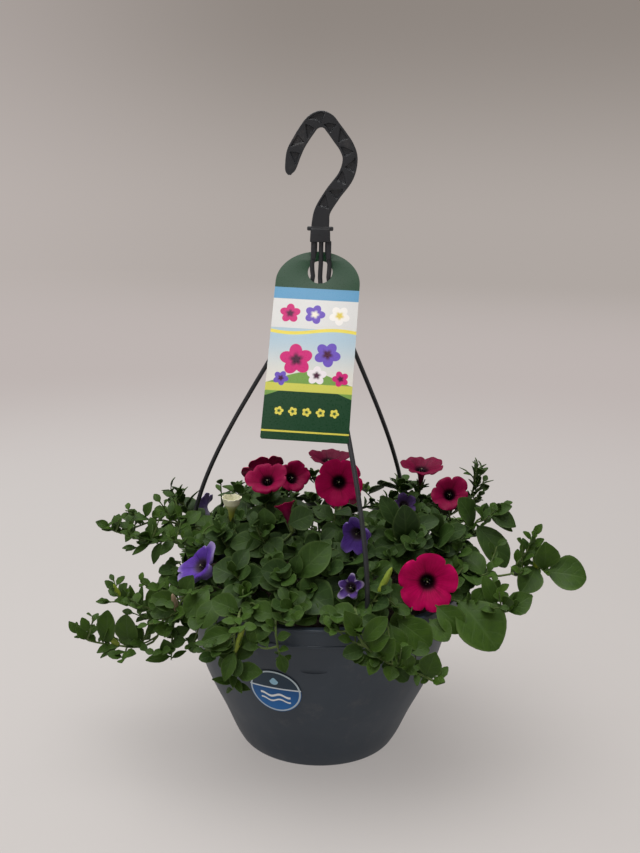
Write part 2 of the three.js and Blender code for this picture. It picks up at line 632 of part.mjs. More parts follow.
// Blooms: at is the middle of the mouth, heading and lift say which way it faces, and funnel is its depth.
// spray and along say where its stalk leaves the stem, and lobes is how deep the edge is cut.
const BLOOMS = [
  { name: 'magenta_front', spray: 'right_low', along: 0.34, at: [91.9, -98, 188.5],
    heading: -92, lift: 12, radius: 27, funnel: 28, lobes: 0.17, roll: 18, kind: 'magenta' },
  { name: 'magenta_centre', spray: 'mid', along: 0.97, at: [15, -27, 257],
    heading: -90, lift: 14, radius: 23, funnel: 27, lobes: 0.14, roll: 54, kind: 'magenta' },
  { name: 'magenta_left', spray: 'mid_left', along: 0.97, at: [-52, -12, 257],
    heading: -100, lift: 50, radius: 20, funnel: 24, lobes: 0.16, roll: 0, kind: 'magenta' },
  { name: 'magenta_left_back', spray: 'mid_left', along: 0.78, at: [-27, 20, 250],
    heading: -60, lift: 35, radius: 18, funnel: 24, lobes: 0.16, roll: 30, kind: 'magenta' },
  { name: 'magenta_closing', spray: 'upper_left', along: 0.76, at: [-34, -42, 240],
    heading: 130, lift: 62, radius: 10, funnel: 22, lobes: 0.2, roll: 10, kind: 'magenta' },
  { name: 'magenta_behind', spray: 'back_inner', along: 0.97, at: [6, 58, 262],
    heading: -80, lift: 78, radius: 21, funnel: 24, lobes: 0.18, roll: 12, kind: 'magenta' },
  { name: 'magenta_top_right', spray: 'mid_right', along: 0.97, at: [97, 38, 260],
    heading: -85, lift: 78, radius: 22, funnel: 24, lobes: 0.17, roll: 40, kind: 'magenta' },
  { name: 'magenta_right', spray: 'right_mid', along: 0.6, at: [122, 14, 238],
    heading: -95, lift: 35, radius: 19, funnel: 24, lobes: 0.17, roll: 25, kind: 'magenta' },
  { name: 'violet_left', spray: 'centre_left', along: 0.5, at: [-109.5, -74, 194],
    heading: -140, lift: 38, radius: 23, funnel: 22, lobes: 0.3, roll: 5, kind: 'violet' },
  { name: 'violet_centre', spray: 'mid_front', along: 0.9, at: [28, -76, 222],
    heading: -120, lift: -8, radius: 19, funnel: 20, lobes: 0.3, roll: 20, kind: 'violet' },
  { name: 'violet_star', spray: 'front_bud', along: 0.6, at: [24, -120, 192],
    heading: -110, lift: 30, radius: 13, funnel: 16, lobes: 0.45, roll: 0, kind: 'violet' },
  { name: 'violet_deep', spray: 'centre_right', along: 0.6, at: [78, -8, 232],
    heading: -80, lift: 30, radius: 12, funnel: 18, lobes: 0.3, roll: 15, kind: 'violet' },
  { name: 'white_funnel', spray: 'white_bloom', along: 0.75, at: [-82, -36, 244],
    heading: -80, lift: 84, radius: 9, funnel: 25, lobes: 0.12, roll: 0, kind: 'white' },
  { name: 'magenta_back_left', spray: 'back_left_inner', along: 0.97, at: [-62, 104, 236],
    heading: 110, lift: 42, radius: 24, funnel: 26, lobes: 0.16, roll: 8, kind: 'magenta' },
  { name: 'magenta_back', spray: 'back', along: 0.5, at: [22, 146, 196],
    heading: 80, lift: 25, radius: 23, funnel: 26, lobes: 0.16, roll: 32, kind: 'magenta' },
  { name: 'violet_back', spray: 'back_left', along: 0.45, at: [-126, 82, 200],
    heading: 150, lift: 35, radius: 19, funnel: 20, lobes: 0.3, roll: 12, kind: 'violet' },
];

const BLOOM_COLOURS = { magenta: 0xc20f66, violet: 0x6a45b0, white: 0xe9ead8 };

function heading(turn, lift) {
  const flat = Math.cos(lift * deg);
  return vec(flat * Math.cos(turn * deg), flat * Math.sin(turn * deg), Math.sin(lift * deg));
}

// Sets a shape that was made along +Y, with its face to +Z, at a place and along a direction.
function aimed(geometry, at, along, face) {
  const side = along.clone().cross(face).normalize();
  const normal = side.clone().cross(along);
  const turn = new THREE.Matrix4().makeBasis(side, along, normal).setPosition(at);
  return geometry.applyMatrix4(turn);
}

// The way a leaf's upper face looks: up, and out of the basket or towards its front.
function facing(at, along) {
  const out = vec(at.x, at.y, 0).normalize();
  const front = at.y < 30 ? 1 : 0;
  const look = vec(0, -0.5 * front, 0.85).addScaledVector(out, front ? 0.25 : 0.5);
  look.addScaledVector(along, -look.dot(along));
  return look.normalize();
}

const LARGE_LEAF = 22;
const PETIOLE = 2.1;
const PETIOLE_WIDTH = 1.5;
const PETIOLE_THICK = 0.9;
// Places along a leaf and its width there, as parts of its length and full width.
const LEAF_LINE = {
  large: [[0.34, 0.94], [0.72, 0.84], [1, 0]],
  small: [[0.5, 1], [1, 0]],
};

// Rings along a leaf as [distance, width, thickness], from a point in the stem or, for its free part,
// from further out.
function leafRings(length, width, from) {
  const line = length > LARGE_LEAF ? LEAF_LINE.large : LEAF_LINE.small;
  const blade = line.map(([t, w]) => [t * length, w * width, BLADE]);
  const cut = [from * length, PETIOLE_WIDTH + from * width, BLADE];
  const foot = from ? [cut, cut] : [[0, 0, 0], [PETIOLE, PETIOLE_WIDTH, PETIOLE_THICK]];
  return [...foot, ...blade];
}

function makeLeaf(at, length, width, along, from) {
  const rings = leafRings(length, width, from);
  const last = rings.length - 1;
  const geometry = new THREE.BoxGeometry(1, 1, 1, 1, last, 1);
  const place = geometry.attributes.position;
  for (let i = 0; i < place.count; i += 1) {
    const [out, wide, thick] = rings[Math.round((place.getY(i) + 0.5) * last)];
    const arch = 0.09 * length * Math.sin((Math.PI * out) / length);
    place.setXYZ(i, place.getX(i) * wide, out, arch + place.getZ(i) * thick);
  }
  return aimed(geometry, at, along, facing(at, along));
}

function makeBud(at, length, radius, along) {
  const profile = [
    [0, 0], [radius * 0.8, 1], [radius, length * 0.4], [radius * 0.75, length * 0.8], [0, length],
  ];
  const bud = turned(profile, 5).rotateX(-Math.PI / 2);
  return aimed(bud, at, along, vec(along.z, along.x, along.y));
}

// A bloom's green cup: a short stub with five sepals round the foot of the funnel.
const CUP_DEPTH = 5.6;

function makeCalyx(at, along) {
  const profile = [[0, 0], [4, 6], [3, CUP_DEPTH], [0, CUP_DEPTH - 0.2]];
  const geometry = turned(profile, 10).rotateX(-Math.PI / 2);
  const place = geometry.attributes.position;
  for (let i = 0; i < place.count; i += 1) {
    const [x, y, z] = [place.getX(i), place.getY(i), place.getZ(i)];
    if (y < 5.9) continue;
    const sepal = Math.cos(5 * Math.atan2(x, z)) > 0;
    const grow = sepal ? 1.35 : 0.9;
    place.setXYZ(i, x * grow, sepal ? 12 : CUP_DEPTH + 0.4, z * grow);
  }
  return aimed(geometry, at, along, vec(along.z, along.x, along.y));
}

const BLOOM_SIDES = 15;
const TUBE_RADIUS = 1.9;

function makeBloom({ at, radius, funnel, lobes, roll, heading: turn, lift, kind }) {
  const sides = kind === 'white' ? 10 : BLOOM_SIDES;
  const throat = kind === 'white' ? radius * 0.72 : 2.6 + radius * 0.13;
  const profile = [
    [0, -funnel], [TUBE_RADIUS, -funnel], [throat, -0.3 * funnel], [radius, -0.5],
    [radius - 0.2, 0.5], [throat - 0.6, -0.3 * funnel + 1.2], [0, -0.75 * funnel],
  ];
  const geometry = turned(profile, sides).rotateX(-Math.PI / 2);
  const place = geometry.attributes.position;
  for (let i = 0; i < place.count; i += 1) {
    const [x, y, z] = [place.getX(i), place.getY(i), place.getZ(i)];
    const r = Math.hypot(x, z);
    if (r < 0.9 * radius) continue;
    const wave = Math.abs(Math.cos(2.5 * Math.atan2(x, z)));
    const grow = 1 - lobes * (1 - wave ** 0.35);
    place.setXYZ(i, x * grow, y + 0.05 * radius * (wave - 0.5), z * grow);
  }
  geometry.rotateY(roll * deg);
  const along = heading(turn, lift);
  return aimed(geometry, vec(...at), along, vec(along.z, along.x, along.y));
}

// Every solid placed so far, with its node's name and its part beyond the root, so that a new one
// keeps clear.
const placed = [];

function keep(node, solid, free) {
  placed.push({ node, solid, free, reach: solid.boundingBox() });
}

function isClear(node, solid, free) {
  const mine = solid.boundingBox();
  for (const other of placed) {
    const apart = [0, 1, 2].some((k) => mine.min[k] - CLEAR > other.reach.max[k]
      || other.reach.min[k] - CLEAR > mine.max[k]);
    if (apart) continue;
    if (other.node !== node) {
      if (solid.minGap(other.solid, CLEAR) < CLEAR) return false;
    } else if (free) {
      if (free.minGap(other.solid, SIBLING_CLEAR) < SIBLING_CLEAR) return false;
      if (other.free && solid.minGap(other.free, SIBLING_CLEAR) < SIBLING_CLEAR) return false;
    }
  }
  return true;
}

// Each node's pieces joined so far.
const grown = new Map();
const FINEST = 0.025;

// How many of a solid's triangles are too flat to make sound faces.
function needles(solid) {
  const { vertProperties, triVerts } = solid.getMesh();
  const triangle = new THREE.Triangle();
  const corners = [triangle.a, triangle.b, triangle.c];
  let count = 0;
  for (let i = 0; i < triVerts.length; i += 3) {
    corners.forEach((corner, k) => corner.fromArray(vertProperties, 3 * triVerts[i + k]));
    const longest = Math.max(...corners.map((corner, k) => corner.distanceTo(corners[(k + 1) % 3])));
    if (2 * triangle.getArea() < FINEST * longest) count += 1;
  }
  return count;
}

// Tries a piece as asked, and then bent a little further each time, until it is clear of the others
// and joins its node without needle-thin faces. A leaf that never fits is left out.
function settle(node, tries, needed, make, makeFree) {
  let spare;
  for (let k = 0; k < tries; k += 1) {
    const solid = solidOf(make(k));
    const free = makeFree && solidOf(makeFree(k));
    const before = grown.get(node);
    if (!isClear(node, solid, free) && !(needed && k === tries - 1 && !spare)) continue;
    const joined = before ? before.add(solid) : solid;
    const entry = { k, solid, free, joined };
    if (!before || needles(joined) <= needles(before)) return accept(node, entry);
    spare ??= entry;
  }
  return needed ? accept(node, spare) : -1;
}

function accept(node, { k, solid, free, joined }) {
  keep(node, solid, free);
  grown.set(node, joined);
  return k;
}

const GOLDEN = 137.5;

function bent(points, from, k) {
  const off = 1.6 * k;
  const shift = [off * Math.cos(GOLDEN * deg * k), off * Math.sin(GOLDEN * deg * k), 0.5 * off];
  return points.map((p, i) => (i < from ? p : p.map((v, axis) => v + shift[axis])));
}

function stemPoints(spray, k) {
  const [x, y] = spray.hole;
  const soil = soilTop(x, y);
  return [[x, y, soil - ROOT_DEPTH], [x, y, soil + 5], ...bent(spray.route, 0, k)];
}

const STEM_TRIES = 16;
const STEM_STEP = 20;

function stemSteps(points) {
  return Math.max(4, Math.round(curveOf(points).getLength() / STEM_STEP));
}

// A tube's curve with its middle line as straight steps, which is what other pieces are rooted on.
function lineOf(points, steps) {
  const curve = curveOf(points);
  return { curve, axis: curve.getSpacedPoints(steps) };
}

function rootOn({ curve, axis }, at) {
  const wanted = curve.getPoint(at);
  const near = axis.slice(1).map((end, i) => {
    return new THREE.Line3(axis[i], end).closestPointToPoint(wanted, true, vec(0, 0, 0));
  });
  return near.sort((a, b) => a.distanceTo(wanted) - b.distanceTo(wanted))[0];
}

function settleStem(spray) {
  const k = settle(spray.name, STEM_TRIES, true, (bend) => {
    const points = stemPoints(spray, bend);
    return tube(points, STEM, stemSteps(points), STEM_SIDES);
  });
  const points = stemPoints(spray, k);
  return lineOf(points, stemSteps(points));
}

// The k-th try at a leaf, from a place along its length on.
function leafTry(root, [, length, width, turn, lift], k, from) {
  const swing = Math.ceil(k / 2) * (k % 2 ? 13 : -13);
  const raise = 7 * (k % 3);
  const size = 1 - 0.03 * k;
  return makeLeaf(root, length * size, width * size, heading(turn + swing, lift + raise), from);
}

function fillRows({ fill }, index) {
  if (!fill) return [];
  const [count, from, to, first, last] = fill;
  const rows = [];
  for (let i = 0; i < count; i += 1) {
    const part = i / (count - 1);
    const length = first + (last - first) * part;
    const lift = 18 + 22 * Math.sin(1.7 * i + index);
    rows.push([from + (to - from) * part, length, 0.64 * length, GOLDEN * i + 50 * index, lift]);
  }
  return rows;
}

const LEAF_TRIES = 13;
const FREE_FROM = 0.25;

// A bloom's cup stands on a stalk that is rooted in the spray's stem.
function growStalk(bloom, stem) {
  const along = heading(bloom.heading, bloom.lift);
  const foot = vec(...bloom.at).addScaledVector(along, -bloom.funnel - CUP_DEPTH - CLEAR);
  settle(bloom.spray, 1, true, () => makeCalyx(foot, along));
  const start = rootOn(stem, bloom.along);
  const lean = start.distanceTo(foot) * 0.45;
  const middle = foot.clone().addScaledVector(along, -lean).lerp(start, 0.25).toArray();
  settle(bloom.spray, STEM_TRIES, true, (k) => {
    const end = foot.clone().addScaledVector(along, 1 + 0.06 * k).toArray();
    return tube([start.toArray(), bent([middle], 0, k)[0], end], TWIG, 3, STEM_SIDES);
  });
}

function growLeaves(spray, index, stem) {
  for (const [at, length, radius, turn, lift] of spray.buds ?? []) {
    const root = rootOn(stem, at);
    settle(spray.name, LEAF_TRIES, false, (k) => makeBud(root, length, radius, heading(turn + 20 * k, lift)));
  }
  for (const row of [...spray.leaves, ...fillRows(spray, index)]) {
    const root = rootOn(stem, row[0]);
    const whole = (k) => leafTry(root, row, k, 0);
    const freePart = (k) => leafTry(root, row, k, FREE_FROM);
    settle(spray.name, LEAF_TRIES, false, whole, freePart);
  }
}

// The hole that a stem stands in runs along its first straight step.
function stemHole({ axis }) {
  const along = axis[1].clone().sub(axis[0]).normalize();
  const geometry = new THREE.CylinderGeometry(HOLE_RADIUS, HOLE_RADIUS, HOLE_LENGTH, 4);
  const middle = axis[0].clone().addScaledVector(along, HOLE_LENGTH / 2 - 2 * FIT);
  return solidOf(aimed(geometry, middle, along, vec(along.z, along.x, along.y)));
}

function growPlants() {
  const stems = {};
  for (const bloom of BLOOMS) {
    settle(bloom.name, 1, true, () => makeBloom(bloom));
  }
  for (const spray of SPRAYS) stems[spray.name] = settleStem(spray);
  const soil = makeSoil(SPRAYS.map(({ name }) => stemHole(stems[name])));
  keep('soil', soil);
  for (const bloom of BLOOMS) growStalk(bloom, stems[bloom.spray]);
  for (const { name, twig } of SPRAYS) {
    if (!twig) continue;
    const points = [rootOn(stems[name], twig.along).toArray(), ...twig.route];
    settle(name, STEM_TRIES, true, (k) => tube(bent(points, 1, k), TWIG, 5, STEM_SIDES));
  }
  SPRAYS.forEach((spray, index) => growLeaves(spray, index, stems[spray.name]));
  return soil;
}

const group = new THREE.Group();

function addPiece(name, solid, colour, roughness) {
  const material = new THREE.MeshStandardMaterial({ color: colour, roughness, metalness: 0 });
  const mesh = new THREE.Mesh(geometryOf(solid), material);
  mesh.name = name;
  group.add(mesh);
}

const fixed = [
  ['pot', makePot(), 0x3d444b, 0.5],
  ['reservoir_insert', makeInsert(), 0x2c3034, 0.6],
  ['hanger', makeHanger(), 0x33393d, 0.5],
  ['tag', makeTag(), 0x2f5e46, 0.4],
  ['sticker', makeSticker(), 0x2f83bf, 0.35],
];

for (const [name, solid] of fixed) keep(name, solid);
fixed.push(['soil', growPlants(), 0x2a1e15, 0.95]);
for (const [name, solid, colour, roughness] of fixed) addPiece(name, solid, colour, roughness);

for (const { name } of SPRAYS) addPiece(`spray_${name}`, grown.get(name), 0x5b7a45, 0.75);
for (const { name, kind } of BLOOMS) addPiece(`bloom_${name}`, grown.get(name), BLOOM_COLOURS[kind], 0.6);

export default group;
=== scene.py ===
"""A petunia hanging basket: the finish of every piece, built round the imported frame.

Pieces are shaped in millimetres and scaled to metres when they are placed. -Y is the front.
"""

import math
import random

import bmesh
import bpy
from mathutils import Matrix, Vector, geometry, noise
from mathutils.kdtree import KDTree


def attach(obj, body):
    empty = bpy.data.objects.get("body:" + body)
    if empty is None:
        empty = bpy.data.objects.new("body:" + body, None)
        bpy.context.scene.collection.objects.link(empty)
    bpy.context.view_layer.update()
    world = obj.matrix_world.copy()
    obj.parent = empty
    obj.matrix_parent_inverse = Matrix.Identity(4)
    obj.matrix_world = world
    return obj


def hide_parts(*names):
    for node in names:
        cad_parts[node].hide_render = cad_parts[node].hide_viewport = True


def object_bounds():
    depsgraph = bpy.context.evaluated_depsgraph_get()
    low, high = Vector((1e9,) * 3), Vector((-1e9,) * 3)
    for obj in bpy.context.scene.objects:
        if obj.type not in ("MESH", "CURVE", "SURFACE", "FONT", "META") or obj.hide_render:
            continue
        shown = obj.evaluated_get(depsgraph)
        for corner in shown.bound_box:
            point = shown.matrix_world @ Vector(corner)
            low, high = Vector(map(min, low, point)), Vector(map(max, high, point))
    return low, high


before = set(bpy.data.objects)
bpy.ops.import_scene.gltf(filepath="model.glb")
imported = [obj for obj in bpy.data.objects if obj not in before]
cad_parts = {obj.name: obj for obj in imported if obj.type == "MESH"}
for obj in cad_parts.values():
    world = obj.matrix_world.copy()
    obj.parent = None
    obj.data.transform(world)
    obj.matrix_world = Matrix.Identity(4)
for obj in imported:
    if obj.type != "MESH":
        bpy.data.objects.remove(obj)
cad_box = [list(corner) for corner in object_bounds()]

MM = 0.001

# Pot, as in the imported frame
POT_HEIGHT = 158.8
RIM_RADIUS = 135
FOOT_RADIUS = 74.5
WALL = 2.2
FLOOR = 2.6
NECK_RADIUS = 129.4
NECK_Z = 142.8
WALL_LINE = [(0, FOOT_RADIUS), (12, 81.2), (35, 91.2), (79.4, 111.3), (NECK_Z, NECK_RADIUS)]
INSERT_TOP = 62.2
FIT = 0.4
SOIL_DROP = 11

# Hanger
HUB_X = -5.5
HUB_Z = 464.5
ARM_START_Z = 435
ARM_RADIUS = 2.1
ARM_SPACING = 5.6
SLOT_RADIUS = 131
ARM_TURNS = (17.5, 137.5, 257.5)
ARM_BOW = (0.437, -0.394, 0.197)
HOOK_THICK = 6
HOOK_POCKET = 1.7

# Tag
TAG_WIDTH = 75.6
TAG_DROP = 139.8
TAG_ARCH = 39.5
TAG_THICK = 0.8
TAG_LEAN = 29.3
# Where the card's own middle lies on its map, and how wide the map is.
TAG_MAP = (100, 150)
TAG_MAP_WIDE = 200

# Plants
STEM = 1.55
TWIG = 1.1
BLADE = 0.75
ROOT_DEPTH = 9
CUP_DEPTH = 5.6
CUP_GAP = 0.32
GOLDEN = 137.5

# Each spray's hole in the soil, the route of its stem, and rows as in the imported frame. A leaf row is
# (place along the stem, length, width, heading, lift), a bud row (place, length, radius, heading, lift)
# and a fill row (how many, from, to, first length, last length).
SPRAYS = {
    "left_high": dict(
        hole=(-74, 14),
        route=[(-92, 8, 178), (-112, 4, 197), (-130, 2, 203), (-153, -2, 210), (-174, -5, 204),
            (-189, -5, 197), (-202, -5, 203)],
        leaves=[(0.98, 15, 8, 180, 20), (0.92, 14, 6, 120, 60), (0.84, 16, 7, 140, 55),
            (0.8, 14, 7, -60, 50), (0.76, 17, 8, -130, -40), (0.73, 14, 7, 100, 50),
            (0.68, 25, 11, -60, -35), (0.66, 15, 8, 40, 60), (0.62, 16, 9, 75, 45), (0.58, 24, 11, -85, -30),
            (0.53, 28, 12, -70, -20), (0.5, 21, 13, 35, 35), (0.4, 26, 16, -60, 10),
            (0.34, 28, 18, 110, 30)],
        buds=[(0.86, 12, 2.2, -60, 30)],
    ),
    "left_up": dict(
        hole=(-84, 44),
        route=[(-100, 40, 185), (-116, 37, 198), (-127, 35, 204), (-135, 35, 214), (-139, 35, 227)],
        leaves=[(0.8, 23, 11, -170, 20), (0.78, 26, 13, -25, 55), (0.62, 27, 17, 120, 25),
            (0.5, 30, 19, -150, 25), (0.42, 32, 20, 60, 30)],
    ),
    "left_mid": dict(
        hole=(-82, -14),
        route=[(-98, -20, 178), (-122, -25, 196), (-140, -28, 199), (-158, -30, 196), (-172, -30, 191)],
        leaves=[(0.73, 22, 8, -140, -65), (0.62, 20, 9, -150, -40), (0.83, 20, 6, -160, -30),
            (0.5, 18, 14, -20, 25), (0.98, 14, 5, -165, 0), (0.8, 15, 7, 60, 55), (0.68, 18, 10, 80, 40),
            (0.42, 28, 18, -110, 5), (0.36, 28, 18, 70, 35)],
    ),
    "left_bud": dict(
        hole=(-86, -38),
        route=[(-104, -43, 172), (-120, -48, 168), (-134, -50, 156), (-148, -50, 143), (-163, -48, 138),
            (-180, -45, 144), (-194, -45, 144)],
        leaves=[(0.72, 30, 8, -25, 60), (0.58, 25, 19, -150, -15), (0.6, 24, 14, 60, 60),
            (0.84, 18, 7, -140, 70), (0.98, 14, 5, 180, 0), (0.8, 20, 7, 155, 75), (0.76, 20, 5, 85, 75),
            (0.45, 24, 16, 120, 35)],
        buds=[(0.87, 22, 2.2, -170, 65)],
    ),
    "left_low": dict(
        hole=(-97, -26),
        route=[(-120, -34, 171), (-136, -39, 158), (-143, -41, 132), (-152, -42, 107), (-168, -42, 99),
            (-186, -40, 99), (-202, -38, 100), (-216, -36, 102), (-227, -35, 109)],
        leaves=[(0.76, 36, 17, -140, 75), (0.64, 37, 20, -100, 75), (0.9, 18, 8, 175, 40),
            (0.7, 25, 5, -175, -50), (0.74, 17, 7, -155, -20), (0.98, 15, 7, 170, 50), (0.8, 14, 7, 80, 60),
            (0.42, 20, 12, 150, 20)],
        buds=[(0.7, 13, 2.6, 170, 35)],
    ),
    "left_down": dict(
        hole=(-76, -62),
        route=[(-96, -74, 172), (-112, -83, 172), (-124, -89, 158), (-128, -92, 140), (-130, -92, 110)],
        leaves=[(0.84, 17, 12, -160, 5), (0.88, 19, 10, -20, 30), (0.97, 23, 12, -125, 50),
            (0.98, 24, 8, -165, -5), (0.99, 16, 5, -15, 25), (0.76, 31, 17, -20, 30),
            (0.58, 26, 17, -50, 60), (0.66, 27, 16, -170, 25), (0.5, 28, 18, 150, 30)],
        buds=[(0.7, 22, 2.6, -110, 65)],
    ),
    "front_left": dict(
        hole=(-52, -84),
        route=[(-60, -104, 172), (-66, -124, 172), (-70, -138, 160), (-70, -142, 146), (-69, -140, 129),
            (-72, -136, 105)],
        leaves=[(0.59, 30, 13, -160, -10), (0.7, 27, 9, -160, 5), (0.74, 27, 11, -130, -60),
            (0.83, 34, 20, -35, 45), (0.9, 28, 14, -30, 15), (0.96, 20, 6, -155, 20), (0.97, 17, 6, -30, 0),
            (0.82, 20, 7, -150, 20), (0.93, 16, 6, -70, -40), (0.45, 27, 18, 170, 20)],
        buds=[(0.76, 25, 2.4, -95, 70)],
    ),
    "front_sprout": dict(
        hole=(-30, -96),
        route=[(-33, -115, 168), (-36, -134, 171), (-36, -147, 162), (-33, -148, 145), (-30, -146, 133)],
        leaves=[(0.72, 15, 7, -30, 30), (0.84, 17, 9, -45, -65), (0.5, 24, 16, 160, 10),
            (0.42, 24, 17, 20, 20)],
    ),
    "centre_front": dict(
        hole=(-14, -70),
        route=[(-16, -82, 170), (-19, -95, 182), (-24, -100, 196)],
        leaves=[(0.72, 44, 29, -50, -10), (0.88, 36, 24, -165, 15), (0.9, 42, 25, 5, 45),
            (0.97, 18, 12, 0, 75), (0.66, 36, 18, -135, -10), (0.8, 35, 18, -170, 0)],
    ),
    "centre_left": dict(
        hole=(-50, -60),
        route=[(-56, -78, 172), (-64, -92, 182), (-73, -95, 190), (-76, -96, 198)],
        leaves=[(0.78, 28, 26, -175, 5), (0.62, 36, 22, -110, -20), (0.64, 22, 16, -130, 15),
            (0.9, 22, 14, 40, 50), (0.7, 30, 20, -20, 5)],
        buds=[(0.66, 14, 2.6, -85, 10)],
    ),
    "upper_left": dict(
        hole=(-38, -29),
        route=[(-42, -44, 181), (-47, -56, 200), (-48.5, -60, 212), (-47.5, -62, 224)],
        leaves=[(0.93, 23, 18, -180, 65), (0.9, 36, 20, 0, 25), (0.83, 34, 17, -165, -10),
            (0.8, 23, 18, -65, -25), (0.7, 30, 20, -110, -15), (0.62, 32, 20, 150, 10)],
    ),
    "white_bloom": dict(
        hole=(-62, -22),
        route=[(-68, -34, 175), (-76, -45, 190), (-86, -54, 205), (-90, -56, 221)],
        leaves=[(0.88, 24, 18, -95, 78), (0.95, 14, 6, -160, 20), (0.9, 18, 9, -150, 5),
            (0.84, 20, 10, -60, 30), (0.7, 28, 18, 170, 15), (0.62, 30, 19, 60, 20)],
    ),
    "right_low": dict(
        hole=(74, -66),
        route=[(88, -78, 172), (104, -90, 175), (116, -95, 172), (138, -95, 166), (158, -92, 160),
            (168, -90, 166)],
        leaves=[(0.6, 51, 32, -55, -45), (0.52, 46, 23, -125, -20), (0.9, 27, 19, -20, 25),
            (0.8, 33, 12, 150, 70), (0.92, 29, 12, 145, 75), (0.68, 18, 13, 35, 55), (0.98, 22, 13, -70, 10),
            (0.97, 14, 7, 60, 60), (0.44, 30, 20, 150, 20)],
    ),
    "right_far": dict(
        hole=(92, -28),
        route=[(106, -36, 172), (124, -44, 177), (144, -50, 177), (170, -52, 181), (192, -54, 190),
            (202, -55, 185)],
        leaves=[(0.88, 33, 21, -140, -30), (0.97, 30, 24, 70, 75), (0.99, 37, 30, -10, -5),
            (0.98, 14, 8, 150, 60), (0.6, 30, 18, 130, 30), (0.5, 32, 20, -70, -10), (0.42, 30, 20, 100, 30),
            (0.8, 16, 8, 90, 50)],
        twig=(0.78, [(176, -52, 190), (185, -52, 203), (190, -52, 220)]),
        buds=[(0.86, 12, 2, -60, 70), (0.9, 9, 2, 60, 60)],
    ),
    "right_mid": dict(
        hole=(88, 6),
        route=[(102, 4, 176), (120, 2, 188), (137, 0, 196), (148, 0, 216), (166, 0, 223)],
        leaves=[(0.8, 50, 25, -40, -45), (0.93, 26, 10, -15, -30), (0.95, 25, 16, -20, -20),
            (0.98, 21, 13, 0, 25), (0.87, 19, 10, 20, 40), (0.77, 34, 22, -160, 60), (0.66, 30, 18, -120, 0),
            (0.55, 34, 20, 100, 25)],
    ),
    "top_right": dict(
        hole=(76, 50),
        route=[(96, 52, 182), (122, 52, 200), (142, 50, 215), (150, 50, 232), (150, 50, 250)],
        leaves=[(0.93, 20, 6, -165, 40), (0.95, 19, 6, 15, 35), (0.97, 15, 5, 180, 65), (0.98, 15, 5, 0, 75),
            (0.82, 24, 7, -5, 20), (0.85, 18, 7, 10, 55), (0.75, 20, 9, 170, 25), (0.62, 28, 16, -60, 15),
            (0.5, 30, 19, 110, 25)],
    ),
    "front_right": dict(
        hole=(34, -98),
        route=[(35, -114, 168), (36, -135, 171), (38, -150, 158), (49, -150, 145), (66, -148, 133),
            (87, -145, 125), (106, -142, 115)],
        leaves=[(0.5, 29, 14, -150, 60), (0.54, 30, 13, -15, 50), (0.6, 24, 12, -35, 40),
            (0.68, 27, 16, -50, 55), (0.66, 18, 10, -135, -50), (0.75, 15, 12, -105, -35),
            (0.83, 22, 12, -135, 60), (0.92, 26, 17, -40, 70), (0.78, 16, 9, -10, 10),
            (0.42, 26, 18, 150, 15)],
    ),
    "centre_right": dict(
        hole=(52, -34),
        route=[(60, -42, 180), (70, -48, 195), (75, -50, 203), (66, -45, 228)],
        leaves=[(0.82, 42, 23, -90, 75), (0.84, 32, 17, -140, -15), (0.95, 32, 17, 175, 60),
            (0.76, 26, 17, -40, -10), (0.68, 34, 20, -95, -15), (0.6, 32, 20, 160, 10)],
    ),
    "right_inner": dict(
        hole=(72, -18),
        route=[(88, -22, 178), (102, -26, 192), (110, -25, 203), (106, -20, 221)],
        leaves=[(0.67, 37, 24, -40, 30), (0.88, 28, 15, -175, 50), (0.95, 23, 14, -15, 55),
            (0.64, 28, 13, -65, 10), (0.78, 30, 18, 70, 20), (0.97, 16, 8, 120, 60),
            (0.58, 30, 18, -110, -10)],
    ),
    "front_bud": dict(
        hole=(26, -78),
        route=[(30, -98, 166), (36, -116, 170), (41, -125, 178), (46, -125, 186)],
        leaves=[(0.66, 26, 17, -150, 10), (0.62, 24, 16, -20, 20), (0.82, 12, 7, -170, 40)],
        buds=[(0.98, 24, 2.7, -20, 62)],
    ),
    "mid_left": dict(
        hole=(-42, 12),
        route=[(-45, 6, 185), (-50, -1, 208), (-52, -4, 224)],
        fill=(7, 0.34, 0.94, 34, 18),
    ),
    "mid": dict(
        hole=(10, 6),
        route=[(11, 9, 185), (13, 13, 215), (14, 14, 238)],
        fill=(8, 0.32, 0.95, 36, 18),
    ),
    "mid_right": dict(
        hole=(62, 24),
        route=[(74, 31, 185), (88, 37, 214), (94, 38, 233)],
        fill=(7, 0.32, 0.96, 34, 16),
    ),
    "mid_front": dict(
        hole=(14, -38),
        route=[(16, -48, 178), (20, -56, 196), (22, -58, 210)],
        fill=(7, 0.34, 0.95, 34, 18),
    ),
    "back_left": dict(
        hole=(-70, 66),
        route=[(-88, 84, 178), (-108, 102, 184), (-128, 120, 172), (-140, 132, 148), (-146, 138, 118)],
        fill=(9, 0.32, 0.98, 36, 14),
    ),
    "back_left_inner": dict(
        hole=(-36, 60),
        route=[(-42, 76, 180), (-48, 90, 198), (-50, 96, 212)],
        fill=(7, 0.34, 0.94, 34, 18),
    ),
    "back": dict(
        hole=(0, 84),
        route=[(-3, 106, 178), (-6, 133, 179), (-9, 152, 164), (-12, 159, 138), (-13, 156, 113)],
        fill=(9, 0.34, 0.98, 34, 13),
    ),
    "back_inner": dict(
        hole=(18, 48),
        route=[(20, 62, 182), (22, 74, 204), (22, 78, 222)],
        fill=(7, 0.34, 0.95, 35, 18),
    ),
    "back_right": dict(
        hole=(58, 78),
        route=[(76, 98, 176), (96, 118, 180), (120, 134, 170), (142, 146, 158), (160, 154, 152)],
        fill=(9, 0.32, 0.98, 36, 14),
    ),
}


